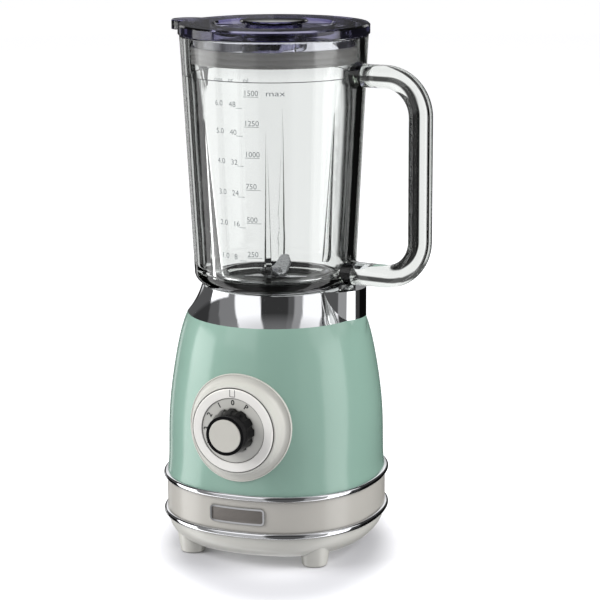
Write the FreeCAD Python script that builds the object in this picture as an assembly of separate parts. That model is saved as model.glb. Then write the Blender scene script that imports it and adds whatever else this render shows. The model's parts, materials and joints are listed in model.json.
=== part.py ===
"""Countertop blender: a glass jug with blades and lid on a motor base with a rotary speed knob.

Millimetres. +Z is up and the counter is z = 0. The motor, blade and jug share the Z axis.
The knob faces -Y. The collar's bump, over which the jug's handle stands, faces +X.
"""
import FreeCAD, Part
import math
import os

from FreeCAD import Placement, Rotation, Vector

# ---------------------------------------------------------------- driving dimensions
# Heights of the stacked outer pieces, from the counter up.
FOOT_STAND = 7.5            # counter to the tray's flat underside
TRAY_HEIGHT = 18.5
TRIM_HEIGHT = 4.4
BAND_HEIGHT = 24.2
SHELL_HEIGHT = 121.7
COLLAR_HEIGHT = 21.8
JUG_GAP = 0.5               # collar top to the glass
GLASS_HEIGHT = 186.0        # glass shoulder to its rim
LID_RIM_HEIGHT = 7.3

# The base's plan is a square with bowed sides, drawn with eight tangent arcs.
BAND_HALF = 81.2            # half-width of the cream band
TRIM_PROUD = 2.6            # trim rings beyond the band
TRAY_INSET = 0.7            # tray's top edge inside the band
SHELL_FOOT_INSET = 0.4      # shell's lower edge inside the band
SIDE_BOW = 42.2             # how much flatter the sides are than a circle
CORNER_SHIFT = 11.4         # how far the corner arcs' centres stand off the axis
SHELL_CROWN = 2.7           # how late the shell turns in towards its top
SHELL_SHOULDER = 0.85       # how round it is there
SQUARENESS_FADE = 1.5       # how fast the plan turns round towards the top
SHELL_WALL = 2.6
BAND_WALL = 2.5
TRAY_WALL = 2.5
TRAY_EDGE_RADIUS = 18.2
TRIM_EDGE_RADIUS = 1.9
SKIRT_WALL = 2.2            # the shell's and tray's locating lips inside the rings
SKIRT_GAP = 0.3
SHELL_LIP = 9.0
TRAY_LIP = 8.0

# Feet and the screws inside them.
FOOT_SPREAD = 49.2
FOOT_FLOOR_RADIUS = 9.3
FOOT_TOP_RADIUS = 12.0
FOOT_TOP_Z = 18.0
FOOT_EDGE_RADIUS = 1.6
SCREW_RADIUS = 1.95
SCREW_HEAD_RADIUS = 3.9
SCREW_HEAD_HEIGHT = 2.6
SCREW_CLEARANCE = 0.15
FOOT_BORE_RADIUS = 4.6
FOOT_BORE_DEPTH = 5.2
POST_RADIUS = 5.0
TRAY_BOSS_HEIGHT = 14.0
POST_RISE = 80.0
BASE_SCREW_LENGTH = 34.0

# Air slots in the tray, under the fan.
SLOT_COUNT = 5
SLOT_WIDTH = 3.2
SLOT_LENGTH = 30.0
SLOT_PITCH = 8.0
SLOT_ROW_X = 26.0

# Chrome collar and its bump.
COLLAR_LIP = 3.2            # top edge beyond the seat
COLLAR_WAIST_FLARE = 5.6    # waist beyond the top edge
COLLAR_WAIST_RISE = 8.2
COLLAR_FOOT_FLARE = 11.2    # foot beyond the top edge
COLLAR_SEAT_GAP = 0.4
COLLAR_WALL = 2.2
BUMP_RADIUS = 26.6
BUMP_INSET = 5.6            # bump's axis inside the seat's wall
BUMP_FADE = 17.0            # how far the bump runs down into the shell

# Jug seat, a cup inside the collar with a well round the drive coupling.
SEAT_RADIUS = 50.0
SEAT_WALL = 2.0
SEAT_FLOOR = 2.5
SEAT_FLANGE = 10.0
WELL_RADIUS = 22.5
WELL_DEPTH = 17.7
WELL_HOLE_RADIUS = 6.5
SEAT_LUG_COUNT = 4
SEAT_LUG_WIDTH = 8.0

# Glass jug. It stands turned a little in its seat.
JUG_TURN = -7.5
GLASS_FOOT_RADIUS = 60.3
GLASS_RIM_RADIUS = 69.9
GLASS_WALL = 6.8
GLASS_FLOOR = 6.6
GLASS_HEEL_RADIUS = 9.0     # rounding where the wall meets the floor, outside
GLASS_RIM_ROUND = 1.6
NECK_WALL = 7.0
NECK_DEPTH = 12.5
FLOOR_RING_STEP = 5.0       # glass floor's inner ring beyond the neck's bore
SEAL_STEP_DROP = 29.3       # lid seal's seat below the glass rim
SEAL_STEP = 1.0
RIB_ANGLE = 23.5            # each rib's angle either side of the square-on direction
RIB_WIDTH = 6.4
RIB_DEPTH = 6.0
RIB_TOP_DROP = 64.0         # ribs end this far below the glass rim
HANDLE_REACH = 119.8        # axis of the grip from the jug's axis
GRIP_DEPTH = 17.0
GRIP_WIDTH = 20.0
HANDLE_TOP_DROP = 27.5      # upper arm's axis below the glass rim
HANDLE_FOOT_RISE = 12.0     # lower arm's axis above the glass shoulder
HANDLE_CORNER = 28.0
HEEL_RADIUS = 6.5
SPOUT_RADIUS = 17.0
SPOUT_OFFSET = 61.5
SPOUT_DROP = 42.0
SPOUT_WALL = 4.6
SPOUT_TIP = 2.0

# Blade carrier, screwed against the glass neck by the base ring.
CARRIER_SEAL = 1.5
CARRIER_FLANGE = 3.0
CARRIER_FIT = 0.6           # plug to neck, radial
CARRIER_PLUG_RISE = 15.0
RING_FIT = 0.8              # base ring to the seat, radial
RING_WALL = 4.2
RING_LIP = 2.5
RING_THREAD_GAP = 0.3
RING_HOLE_RADIUS = 32.0
RING_NOTCH_DEPTH = 2.6
HUB_RADIUS = 13.0
HUB_DROP = 4.0

# Blade shaft and blades.
SHAFT_RADIUS = 4.0
THREAD_RADIUS = 3.0
BUSH_RADIUS = 7.5
BUSH_LENGTH = 6.5
RUNNING_GAP = 0.05
BLADE_THICKNESS = 1.6
BLADE_HUB_RADIUS = 8.0
UPPER_BLADE_REACH = 27.0
LOWER_BLADE_REACH = 25.0
UPPER_BLADE_RISE = 27.0     # bend in degrees
LOWER_BLADE_FALL = 7.0
BLADE_ROOT_WIDTH = 14.0
BLADE_TIP_WIDTH = 8.0
BLADE_STANDOFF = 2.0
BLADE_SPACER = 1.0
NUT_RADIUS = 5.6
NUT_HEIGHT = 4.0

# Drive coupling, a rubber star in a six-lobed cup.
STAR_LOBES = 6
STAR_RADIUS = 14.5
STAR_ROOT_RADIUS = 10.5
STAR_HEIGHT = 8.0
STAR_FLANGE = 3.0
STAR_FLANGE_RADIUS = 17.0
DOG_RADIUS = 18.8
DOG_TOP = 4.0
MESH_GAP = 0.4
REST_GAP = 0.4              # lift-off pieces stand this far off their seats

# Motor: a universal motor hung from the shell's deck on rubber dampers.
MOTOR_TOP_DROP = 28.0       # deck underside to the upper bracket
BRACKET_HALF = 39.0
BRACKET_THICKNESS = 4.0
BRACKET_CORNER = 9.0
BRACKET_LEG = 12.0
DAMPER_SPREAD = 33.0
DAMPER_RADIUS = 6.8
DAMPER_NECK_RADIUS = 4.6
DAMPER_FLANGE = 3.0
STACK_HEIGHT = 32.0
STATOR_LENGTH = 74.0
STATOR_WIDTH = 64.0
STATOR_YOKE = 7.5
STATOR_CORNER = 12.0
POLE_WIDTH = 20.0
POLE_SHOE = 3.8
AIR_GAP = 0.8
ARMATURE_RADIUS = 19.0
ARMATURE_SLOTS = 12
ARMATURE_SLOT_DEPTH = 8.0
ARMATURE_SLOT_WIDTH = 3.2
COIL_WIDTH = 7.0
COIL_OVERHANG = 8.0
COIL_GAP = 0.3
WINDOW_WIDTH = 13.0
WINDOW_X = 24.5
TIE_X = 31.0
TIE_Y = 21.0
TIE_RADIUS = 4.0
LOWER_LEG = 26.0
BEARING_RADIUS = 11.0
BEARING_HEIGHT = 7.0
BEARING_HOUSING_RADIUS = 14.5
WINDING_RADIUS = 16.5
WINDING_HEIGHT = 9.0
COMMUTATOR_RADIUS = 11.5
COMMUTATOR_HEIGHT = 13.0
COMMUTATOR_BARS = 12
BRUSH_WIDTH = 6.0
BRUSH_HEIGHT = 9.0
BRUSH_LENGTH = 17.0
HOLDER_WALL = 2.0
FAN_RADIUS = 34.0
FAN_DISC = 2.0
FAN_BLADE_HEIGHT = 11.0
FAN_BLADES = 9
FAN_HUB_RADIUS = 8.0
FAN_GAP = 2.5

# Speed dial on the front.
DIAL_Z = 108.5
BEZEL_RADIUS = 38.0
BEZEL_PROUD = 1.5
BEZEL_LIP = 1.0
DISH_DEPTH = 2.2
DISH_FOOT_RADIUS = 33.5
PEDESTAL_RADIUS = 30.6
PEDESTAL_FACE = 84.0        # from the axis
DIAL_RING_RADIUS = 29.5
DIAL_RING_DEPTH = 3.4
DISC_RADIUS = 24.0
DISC_THICKNESS = 2.2
TURN_GAP = 0.4
INDEX_SIZE = 5.0
KNOB_LENGTH = 15.6
KNOB_FOOT_RADIUS = 16.8
KNOB_FACE_RADIUS = 14.6
KNOB_LOBES = 12
KNOB_FLUTE_RADIUS = 2.4
KNOB_CAP_RADIUS = 12.3
KNOB_CAP_THICKNESS = 2.4
SPINDLE_RADIUS = 3.0
SWITCH_SIZE = 28.0
SWITCH_DEPTH = 18.0
BEZEL_BACK = 68.0
DIAL_POCKET_FLOOR = 74.0

# Safety interlock under the handle.
INTERLOCK_OUTSET = 10.5     # pin's axis outside the seat's wall
PLUNGER_RADIUS = 2.5
PLUNGER_COLLAR_RADIUS = 4.4
PLUNGER_TRAVEL = 3.0
PLUNGER_GAP = 0.08
MICROSWITCH_LENGTH = 26.0
MICROSWITCH_WIDTH = 7.0
MICROSWITCH_HEIGHT = 10.0
MICROSWITCH_DROP = 11.2

# Lid, its seal and the filler cap.
LID_RIM_RADIUS = 71.0
LID_PLATE = 2.5
LID_WELL_RADIUS = 44.0
LID_WELL_DROP = 4.4
LID_SKIRT_RADIUS = 60.0
LID_SKIRT_WALL = 2.0
LID_SKIRT_DROP = 20.0
SEAL_HEIGHT = 11.5
SEAL_BEADS = 3
SEAL_BEAD_PROUD = 1.3
SEAL_BODY = 1.3
SOCKET_RADIUS = 23.6
SOCKET_WALL = 2.0
SOCKET_DROP = 19.5
SOCKET_SLITS = 8
SOCKET_SLIT_WIDTH = 1.6
TAB_REACH = 86.0
TAB_WIDTH = 27.0
CAP_GAP = 0.5
CAP_RADIUS = 25.2
CAP_DISC = 3.4
CAP_DOME = 0.8
CAP_STEM_WALL = 2.0
CAP_STEM_DROP = 22.5

# Cord inlet at the rear, and the clamp inside it.
GLAND_RISE = 11.6           # above the lower trim ring
GLAND_BORE = 3.6
GLAND_BODY = 6.6
GLAND_FLANGE = 9.0
GLAND_NOSE = 2.6
GLAND_LENGTH = 11.0
CLAMP_Y = 57.0
CLAMP_LENGTH = 30.0
CLAMP_WIDTH = 9.0
CLAMP_THICKNESS = 6.0
CLAMP_BLOCK = 8.0

# Badge plate on the band, left bare.
BADGE_WIDTH = 43.0
BADGE_HEIGHT = 12.5
BADGE_FRAME = 1.3
BADGE_PROUD = 1.3
BADGE_FIELD_PROUD = 0.5
BADGE_CORNER = 3.0

# ---------------------------------------------------------------- derived places
COLLAR_TOP_RADIUS = SEAT_RADIUS + SEAT_WALL + COLLAR_LIP
COLLAR_WAIST_RADIUS = COLLAR_TOP_RADIUS + COLLAR_WAIST_FLARE
COLLAR_FOOT_RADIUS = COLLAR_TOP_RADIUS + COLLAR_FOOT_FLARE
COLLAR_MOUTH_RADIUS = SEAT_RADIUS + SEAT_WALL + COLLAR_SEAT_GAP
BUMP_OFFSET = SEAT_RADIUS - BUMP_INSET
SEAT_FLANGE_RADIUS = SEAT_RADIUS + SEAT_FLANGE
RING_RADIUS = SEAT_RADIUS - RING_FIT
NECK_RADIUS = RING_RADIUS - RING_WALL
NECK_BORE = NECK_RADIUS - NECK_WALL
FLOOR_RING_RADIUS = NECK_BORE + FLOOR_RING_STEP
INTERLOCK_REACH = SEAT_RADIUS + INTERLOCK_OUTSET
TRAY_Z = FOOT_STAND
LOWER_TRIM_Z = TRAY_Z + TRAY_HEIGHT
BAND_Z = LOWER_TRIM_Z + TRIM_HEIGHT
UPPER_TRIM_Z = BAND_Z + BAND_HEIGHT
SHELL_Z = UPPER_TRIM_Z + TRIM_HEIGHT
DECK_Z = SHELL_Z + SHELL_HEIGHT
DECK_UNDERSIDE = DECK_Z - SHELL_WALL
COLLAR_TOP = DECK_Z + COLLAR_HEIGHT
GLASS_Z = COLLAR_TOP + JUG_GAP
RIM_Z = GLASS_Z + GLASS_HEIGHT
SEAT_TOP_OF_FLOOR = DECK_Z + SEAT_FLOOR
WELL_FLOOR_Z = DECK_Z - WELL_DEPTH + SEAT_FLOOR
NECK_Z = GLASS_Z - NECK_DEPTH
CARRIER_FLANGE_TOP = NECK_Z - CARRIER_SEAL
CARRIER_FLANGE_Z = CARRIER_FLANGE_TOP - CARRIER_FLANGE
RING_Z = CARRIER_FLANGE_Z - RING_LIP
CARRIER_TOP = CARRIER_FLANGE_TOP + CARRIER_PLUG_RISE
HUB_Z = CARRIER_FLANGE_Z - HUB_DROP
CARRIER_PLUG_RADIUS = NECK_BORE - CARRIER_FIT
SHOULDER_Z = CARRIER_TOP + BLADE_STANDOFF
STAR_Z = WELL_FLOOR_Z + REST_GAP
STAR_FACE = STAR_Z + STAR_FLANGE
STAR_TOP = STAR_FACE + STAR_HEIGHT
DOG_Z = STAR_FACE + REST_GAP
DOG_CAP_Z = STAR_TOP + REST_GAP
DOG_END = min(DOG_CAP_Z + DOG_TOP, HUB_Z - REST_GAP)
TRIM_HALF = BAND_HALF + TRIM_PROUD
RING_BORE_HALF = BAND_HALF - BAND_WALL
SKIRT_HALF = RING_BORE_HALF - SKIRT_GAP
TRAY_HALF = BAND_HALF - TRAY_INSET
SHELL_FOOT_HALF = BAND_HALF - SHELL_FOOT_INSET
UPPER_BRACKET_Z = DECK_UNDERSIDE - MOTOR_TOP_DROP
STATOR_TOP = UPPER_BRACKET_Z - BRACKET_LEG
STATOR_Z = STATOR_TOP - STACK_HEIGHT
LOWER_BRACKET_TOP = STATOR_Z - LOWER_LEG
LOWER_BRACKET_Z = LOWER_BRACKET_TOP - BRACKET_THICKNESS
FAN_TOP = LOWER_BRACKET_Z - BEARING_HEIGHT + BRACKET_THICKNESS - FAN_GAP
LID_Z = RIM_Z + REST_GAP
LID_TOP = LID_Z + LID_RIM_HEIGHT
LID_WELL_Z = LID_TOP - LID_WELL_DROP
CAP_Z = LID_TOP + CAP_GAP - 0.6
TINY = 0.01

X_AXIS = Vector(1, 0, 0)
Y_AXIS = Vector(0, 1, 0)
Z_AXIS = Vector(0, 0, 1)


# ---------------------------------------------------------------- small shape helpers
def polar(radius, degrees, z=0.0):
    """A point at a radius and angle about the Z axis."""
    angle = math.radians(degrees)
    return Vector(radius * math.cos(angle), radius * math.sin(angle), z)


def rod(radius, z, height, x=0.0, y=0.0):
    """A solid cylinder standing at x, y."""
    return Part.makeCylinder(radius, height, Vector(x, y, z), Z_AXIS)


def tube(outer, inner, z, height):
    """A round sleeve on the Z axis."""
    return rod(outer, z, height).cut(rod(inner, z - 1, height + 2))


def front_rod(radius, near, far, z=DIAL_Z):
    """A cylinder lying along Y in front of the axis, between two distances from it."""
    return Part.makeCylinder(radius, far - near, Vector(0, -near, z), -Y_AXIS)


def front_cone(radius_near, radius_far, near, far, z=DIAL_Z):
    """A cone lying along Y in front of the axis."""
    return Part.makeCone(radius_near, radius_far, far - near, Vector(0, -near, z), -Y_AXIS)


def block(x_size, y_size, z, height, x=0.0, y=0.0):
    """A box centred at x, y."""
    return Part.makeBox(x_size, y_size, height, Vector(x - x_size / 2, y - y_size / 2, z))


def turned(shape, degrees):
    """A copy turned about the Z axis."""
    copy = shape.copy()
    copy.rotate(Vector(0, 0, 0), Z_AXIS, degrees)
    return copy


def moved(shape, x, y, z=0.0):
    """A copy moved by x, y and z."""
    copy = shape.copy()
    copy.translate(Vector(x, y, z))
    return copy


def around(shape, count, start=0.0):
    """Copies of a shape spaced evenly about the Z axis."""
    return [turned(shape, start + 360.0 * k / count) for k in range(count)]


def at_corners(shape, x, y):
    """Four copies of a shape that stands on the axis, one in each quadrant."""
    return [moved(shape, sx * x, sy * y) for sx in (-1, 1) for sy in (-1, 1)]


def fused(shapes):
    """One shape from several, with seams between like faces removed."""
    return shapes[0].multiFuse(shapes[1:]).removeSplitter()


def crown(radius, top, drop):
    """A point halfway up a shallow dome whose top is on the Z axis."""
    sphere = (radius * radius + drop * drop) / (2 * drop)
    half = math.asin(radius / sphere) / 2
    return (sphere * math.sin(half), top - sphere * (1 - math.cos(half)))


def revolved(edges):
    """A solid of revolution about Z from a closed outline in the XZ plane."""
    return Part.Face(Part.Wire(edges)).revolve(Vector(0, 0, 0), Z_AXIS, 360)


def outline(points):
    """Edges through (radius, z) points; a triple (mid, end) pair in a list is an arc."""
    edges = []
    last = None
    first = None
    for item in points:
        if isinstance(item, list):
            mid, end = [Vector(r, 0, z) for r, z in item]
            edges.append(Part.Arc(last, mid, end).toShape())
        else:
            end = Vector(item[0], 0, item[1])
            if last is not None:
                edges.append(Part.LineSegment(last, end).toShape())
        first = first or end
        last = end
    if last.distanceToPoint(first) > TINY:
        edges.append(Part.LineSegment(last, first).toShape())
    return edges


def edges_at(shape, z, least_radius=0.0):
    """Edges that lie wholly at height z, outside a radius."""
    found = []
    for edge in shape.Edges:
        box = edge.BoundBox
        if abs(box.ZMin - z) > TINY or abs(box.ZMax - z) > TINY:
            continue
        middle = edge.valueAt((edge.FirstParameter + edge.LastParameter) / 2)
        if math.hypot(middle.x, middle.y) >= least_radius:
            found.append(edge)
    return found


# ---------------------------------------------------------------- the base's plan
def plan_wire(half, z, squareness=1.0):
    """The bowed square at height z: four side arcs and four corner arcs, a circle at squareness 0."""
    bow = SIDE_BOW * squareness
    shift = CORNER_SHIFT * squareness
    side = half + bow
    corner = side - math.hypot(bow + shift, shift)
    joint = math.degrees(math.atan2(CORNER_SHIFT, SIDE_BOW + CORNER_SHIFT))
    edges = []
    for quarter in range(4):
        start = polar(side, -joint) + Vector(-bow, 0, z)
        middle = Vector(half, 0, z)
        end = polar(side, joint) + Vector(-bow, 0, z)
        turn = polar(corner, 45) + Vector(shift, shift, z)
        last = turned(Part.Vertex(start), 90).Point
        for arc in (Part.Arc(start, middle, end), Part.Arc(end, turn, last)):
            edges.append(turned(arc.toShape(), 90 * quarter))
    return Part.Wire(edges)


def plan_block(half, z, height):
    """The bowed square as a straight prism."""
    return Part.Face(plan_wire(half, z)).extrude(Vector(0, 0, height))


def plan_ring(outer, inner, z, height):
    """A straight-walled ring of the base's plan."""
    return plan_block(outer, z, height).cut(plan_block(inner, z - 1, height + 2))


def shell_rise(z):
    """Height up the body shell, from 0 at its foot to 1 at the deck."""
    return (z - SHELL_Z) / SHELL_HEIGHT


def shell_half(z):
    """Half-width of the body shell's outside at height z."""
    share = (1.0 - min(max(shell_rise(z), 0.0), 1.0) ** SHELL_CROWN) ** SHELL_SHOULDER
    return COLLAR_FOOT_RADIUS + (SHELL_FOOT_HALF - COLLAR_FOOT_RADIUS) * share


def shell_form(offset, low, high, stations=6):
    """The body shell's barrel, moved in or out by an offset, between two heights."""
    wires = []
    for k in range(stations):
        z = low + (high - low) * math.sin(math.pi / 2 * k / (stations - 1))
        squareness = max(1.0 - shell_rise(z), 0.0) ** SQUARENESS_FADE
        wires.append(plan_wire(shell_half(z) + offset, z, squareness))
    return Part.makeLoft(wires, True, False)


# ---------------------------------------------------------------- base, outside pieces
def shell_posts():
    """Screw posts over the feet, each tied to the shell's wall by a web."""
    reach = FOOT_SPREAD * math.sqrt(2)
    base = TRAY_Z + TRAY_WALL + TRAY_BOSS_HEIGHT
    post = rod(POST_RADIUS, base, POST_RISE)
    pilot = rod(SCREW_RADIUS, base - 1, BASE_SCREW_LENGTH)
    web_z = SHELL_Z + SKIRT_GAP
    web = block(SHELL_FOOT_HALF - reach, 2.4, web_z, base + POST_RISE - web_z, SHELL_FOOT_HALF / 2 + reach / 2)
    post = moved(post.cut(pilot), reach, 0)
    return around(post.fuse(web), 4, 45)


def interlock_posts():
    """Two short posts under the deck that carry the microswitch."""
    posts = []
    for side in (-1, 1):
        post = rod(2.4, DECK_UNDERSIDE - MICROSWITCH_DROP, MICROSWITCH_DROP + 1, INTERLOCK_REACH, side * 10.0)
        posts.append(turned(post, JUG_TURN))
    return posts


def make_body_shell():
    """The painted motor housing: a barrel, round at the top and bowed-square at the bottom."""
    outer = shell_form(0, SHELL_Z, DECK_Z)
    bump = rod(BUMP_RADIUS, DECK_Z - BUMP_FADE, BUMP_FADE, BUMP_OFFSET)
    bump_inside = rod(BUMP_RADIUS - SHELL_WALL, DECK_Z - BUMP_FADE, BUMP_FADE - SHELL_WALL, BUMP_OFFSET)
    inner = shell_form(-SHELL_WALL, SHELL_Z - 1, DECK_UNDERSIDE)
    deck_cap = rod(COLLAR_FOOT_RADIUS + BUMP_RADIUS, DECK_UNDERSIDE, SHELL_WALL)
    shell = outer.fuse(bump).cut(inner.fuse(bump_inside).cut(deck_cap))
    skirt = plan_block(SKIRT_HALF, SHELL_Z - SHELL_LIP, SHELL_LIP)
    skirt = skirt.fuse(plan_block(SHELL_FOOT_HALF - 1.2, SHELL_Z, 4.0))
    skirt = skirt.cut(plan_block(SKIRT_HALF - SKIRT_WALL, SHELL_Z - SHELL_LIP - 1, SHELL_LIP + 6))
    post = rod(POST_RADIUS, UPPER_BRACKET_Z + BRACKET_THICKNESS + DAMPER_FLANGE, DECK_UNDERSIDE)
    post = post.common(rod(POST_RADIUS + 1, 0, DECK_UNDERSIDE + 1))
    pilot = rod(SCREW_RADIUS, UPPER_BRACKET_Z, BRACKET_THICKNESS + DAMPER_FLANGE + 12)
    motor_posts = at_corners(post.cut(pilot), DAMPER_SPREAD, DAMPER_SPREAD)
    shell = shell.multiFuse([skirt] + motor_posts + shell_posts() + interlock_posts())
    plunger = polar(INTERLOCK_REACH, JUG_TURN)
    holes = [
        rod(WELL_RADIUS + SEAT_WALL + SKIRT_GAP, DECK_UNDERSIDE - 1, SHELL_WALL + 2),
        rod(PLUNGER_RADIUS + PLUNGER_GAP, DECK_UNDERSIDE - 1, SHELL_WALL + 2, plunger.x, plunger.y),
        front_rod(BEZEL_RADIUS + SCREW_CLEARANCE, SHELL_FOOT_HALF / 2, SHELL_FOOT_HALF + 9),
    ]
    return shell.cut(holes)


def make_chrome_collar():
    """The bright concave collar, with the upright bump under the handle."""
    foot = (COLLAR_FOOT_RADIUS, DECK_Z)
    waist = (COLLAR_WAIST_RADIUS, DECK_Z + COLLAR_WAIST_RISE)
    top = (COLLAR_TOP_RADIUS, COLLAR_TOP)
    inner_waist = (COLLAR_WAIST_RADIUS - COLLAR_WALL, DECK_Z + COLLAR_WAIST_RISE)
    inner_foot = (COLLAR_FOOT_RADIUS - COLLAR_WALL, DECK_Z)
    inside_top = (COLLAR_MOUTH_RADIUS, COLLAR_TOP - COLLAR_WALL)
    cone = revolved(outline([(0, DECK_Z), foot, [waist, top], (0, COLLAR_TOP)]))
    hollow = revolved(outline([(0, DECK_Z - 1), (inner_foot[0], DECK_Z - 1), inner_foot,
                               [inner_waist, inside_top], (0, inside_top[1])]))
    bump = rod(BUMP_RADIUS, DECK_Z, COLLAR_HEIGHT, BUMP_OFFSET)
    bump_hollow = rod(BUMP_RADIUS - COLLAR_WALL, DECK_Z - 1, COLLAR_HEIGHT - COLLAR_WALL + 1, BUMP_OFFSET)
    plunger = polar(INTERLOCK_REACH, JUG_TURN)
    mouth = rod(COLLAR_MOUTH_RADIUS, DECK_Z - 1, COLLAR_HEIGHT + 2)
    pin_hole = rod(PLUNGER_RADIUS + PLUNGER_GAP, COLLAR_TOP - 5, 6, plunger.x, plunger.y)
    return cone.fuse(bump).cut([hollow, bump_hollow, mouth, pin_hole]).removeSplitter()


def make_jug_seat():
    """The cup that holds the jug's base ring, with a well for the drive coupling."""
    wall = tube(SEAT_RADIUS + SEAT_WALL, SEAT_RADIUS, DECK_Z, COLLAR_HEIGHT - 0.3)
    flange = rod(SEAT_FLANGE_RADIUS, DECK_Z, SEAT_FLOOR)
    well = rod(WELL_RADIUS + SEAT_WALL, DECK_Z - WELL_DEPTH, WELL_DEPTH)
    well_inside = rod(WELL_RADIUS, WELL_FLOOR_Z, DECK_Z)
    well_inside = well_inside.common(rod(WELL_RADIUS + 1, 0, SEAT_TOP_OF_FLOOR + 1))
    plunger = polar(INTERLOCK_REACH, JUG_TURN)
    notch = rod(PLUNGER_RADIUS + 2.0, DECK_Z - 1, SEAT_FLOOR + 2, plunger.x, plunger.y)
    drain = rod(WELL_HOLE_RADIUS, 0, DECK_Z)
    lug = block(3.4, SEAT_LUG_WIDTH, SEAT_TOP_OF_FLOOR - TINY, 9.0, SEAT_RADIUS - 0.3)
    lugs = around(lug, SEAT_LUG_COUNT, JUG_TURN + 45)
    seat = wall.fuse(flange).fuse(well).multiFuse(lugs)
    return seat.cut([well_inside, drain, notch]).removeSplitter()


def make_base_band():
    """The cream band between the two trim rings, with the cord inlet's hole at the rear."""
    band = plan_ring(BAND_HALF, RING_BORE_HALF, BAND_Z, BAND_HEIGHT)
    hole = Part.makeCylinder(GLAND_BODY + SCREW_CLEARANCE, 20, Vector(0, BAND_HALF - 12, BAND_Z + GLAND_RISE), Y_AXIS)
    return band.cut(hole)


def make_trim_ring(z):
    """A rounded bright ring, proud of the band."""
    ring = plan_ring(TRIM_HALF, RING_BORE_HALF, z, TRIM_HEIGHT)
    outer = edges_at(ring, z, TRIM_HALF - 1) + edges_at(ring, z + TRIM_HEIGHT, TRIM_HALF - 1)
    return ring.makeFillet(min(TRIM_EDGE_RADIUS, TRIM_PROUD - 0.3), outer)


def tray_block(inset, z):
    """The tray's outer form, shrunk by an inset, from height z to its top edge."""
    form = plan_block(TRAY_HALF - inset, z, LOWER_TRIM_Z - z)
    return form.makeFillet(TRAY_EDGE_RADIUS - inset, edges_at(form, z))


def make_base_tray():
    """The cream bottom cover, with bosses over the feet, air slots and the cord clamp's block."""
    inside = tray_block(TRAY_WALL, TRAY_Z + TRAY_WALL)
    floor = TRAY_Z + TRAY_WALL
    lip = plan_ring(SKIRT_HALF, SKIRT_HALF - SKIRT_WALL, LOWER_TRIM_Z - 4.0, 4.0 + TRAY_LIP)
    bosses = at_corners(rod(POST_RADIUS + 1.5, floor - 1, TRAY_BOSS_HEIGHT + 1), FOOT_SPREAD, FOOT_SPREAD)
    clamp = block(CLAMP_LENGTH, CLAMP_WIDTH, floor - 1, CLAMP_BLOCK + 1, 0, CLAMP_Y)
    form = tray_block(0, TRAY_Z)
    bosses = [boss.common(form) for boss in bosses]
    tray = form.cut(inside).multiFuse([lip, clamp] + bosses)
    cuts = at_corners(rod(SCREW_RADIUS + SCREW_CLEARANCE, 0, 60), FOOT_SPREAD, FOOT_SPREAD)
    for side in (-1, 1):
        cuts.append(rod(1.3, floor, 60, side * CLAMP_LENGTH * 0.36, CLAMP_Y))
        for k in range(SLOT_COUNT):
            y = (k - (SLOT_COUNT - 1) / 2) * SLOT_PITCH
            cuts.append(block(SLOT_LENGTH, SLOT_WIDTH, TRAY_Z - 1, TRAY_WALL + 2, side * SLOT_ROW_X, y))
    return tray.cut(cuts)


def make_foot():
    """One tapered foot on the axis's +X+Y corner, cut to the tray's curved underside."""
    cone = Part.makeCone(FOOT_FLOOR_RADIUS, FOOT_TOP_RADIUS, FOOT_TOP_Z, Vector(FOOT_SPREAD, FOOT_SPREAD, 0), Z_AXIS)
    cone = cone.makeFillet(FOOT_EDGE_RADIUS, edges_at(cone, 0))
    foot = cone.cut(tray_block(0, TRAY_Z))
    bore = rod(FOOT_BORE_RADIUS, -1, FOOT_BORE_DEPTH + 1, FOOT_SPREAD, FOOT_SPREAD)
    through = rod(SCREW_RADIUS + SCREW_CLEARANCE, 0, 60, FOOT_SPREAD, FOOT_SPREAD)
    return foot.cut([bore, through])


def screw(head_radius, head_height, length):
    """A pan-head screw on the axis, head down at z = 0, with a cross recess."""
    body = rod(head_radius, 0, head_height).fuse(rod(SCREW_RADIUS - 0.05, head_height, length))
    slot = block(head_radius * 1.2, 0.9, -TINY, head_height * 0.45)
    return body.cut([slot, turned(slot, 90)])


def make_base_screws():
    """Four screws up through the feet and the tray into the shell's posts."""
    one = screw(SCREW_HEAD_RADIUS, SCREW_HEAD_HEIGHT, BASE_SCREW_LENGTH)
    one.translate(Vector(0, 0, FOOT_BORE_DEPTH - SCREW_HEAD_HEIGHT))
    return at_corners(one, FOOT_SPREAD, FOOT_SPREAD)


def badge_block(grow, depth, back):
    """A rounded plate in front of the band, reaching from back to depth beyond the band's face."""
    width = BADGE_WIDTH + 2 * grow
    height = BADGE_HEIGHT + 2 * grow
    z = BAND_Z + BAND_HEIGHT / 2 - height / 2
    plate = Part.makeBox(width, 12, height, Vector(-width / 2, -BAND_HALF - 6, z))
    upright = [e for e in plate.Edges if abs(e.BoundBox.YLength - 12) < TINY]
    plate = plate.makeFillet(BADGE_CORNER + grow, upright)
    shell = plan_block(BAND_HALF + depth, z - 1, height + 2)
    return plate.common(shell).cut(plan_block(BAND_HALF + back, z - 2, height + 4))


def make_badge_frame():
    """The badge plate's raised metal border."""
    return badge_block(0, BADGE_PROUD, 0).cut(badge_block(-BADGE_FRAME, BADGE_PROUD + 1, -1))


def make_badge_field():
    """The badge plate's bare sunken field."""
    return badge_block(-BADGE_FRAME, BADGE_FIELD_PROUD, 0)


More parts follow.
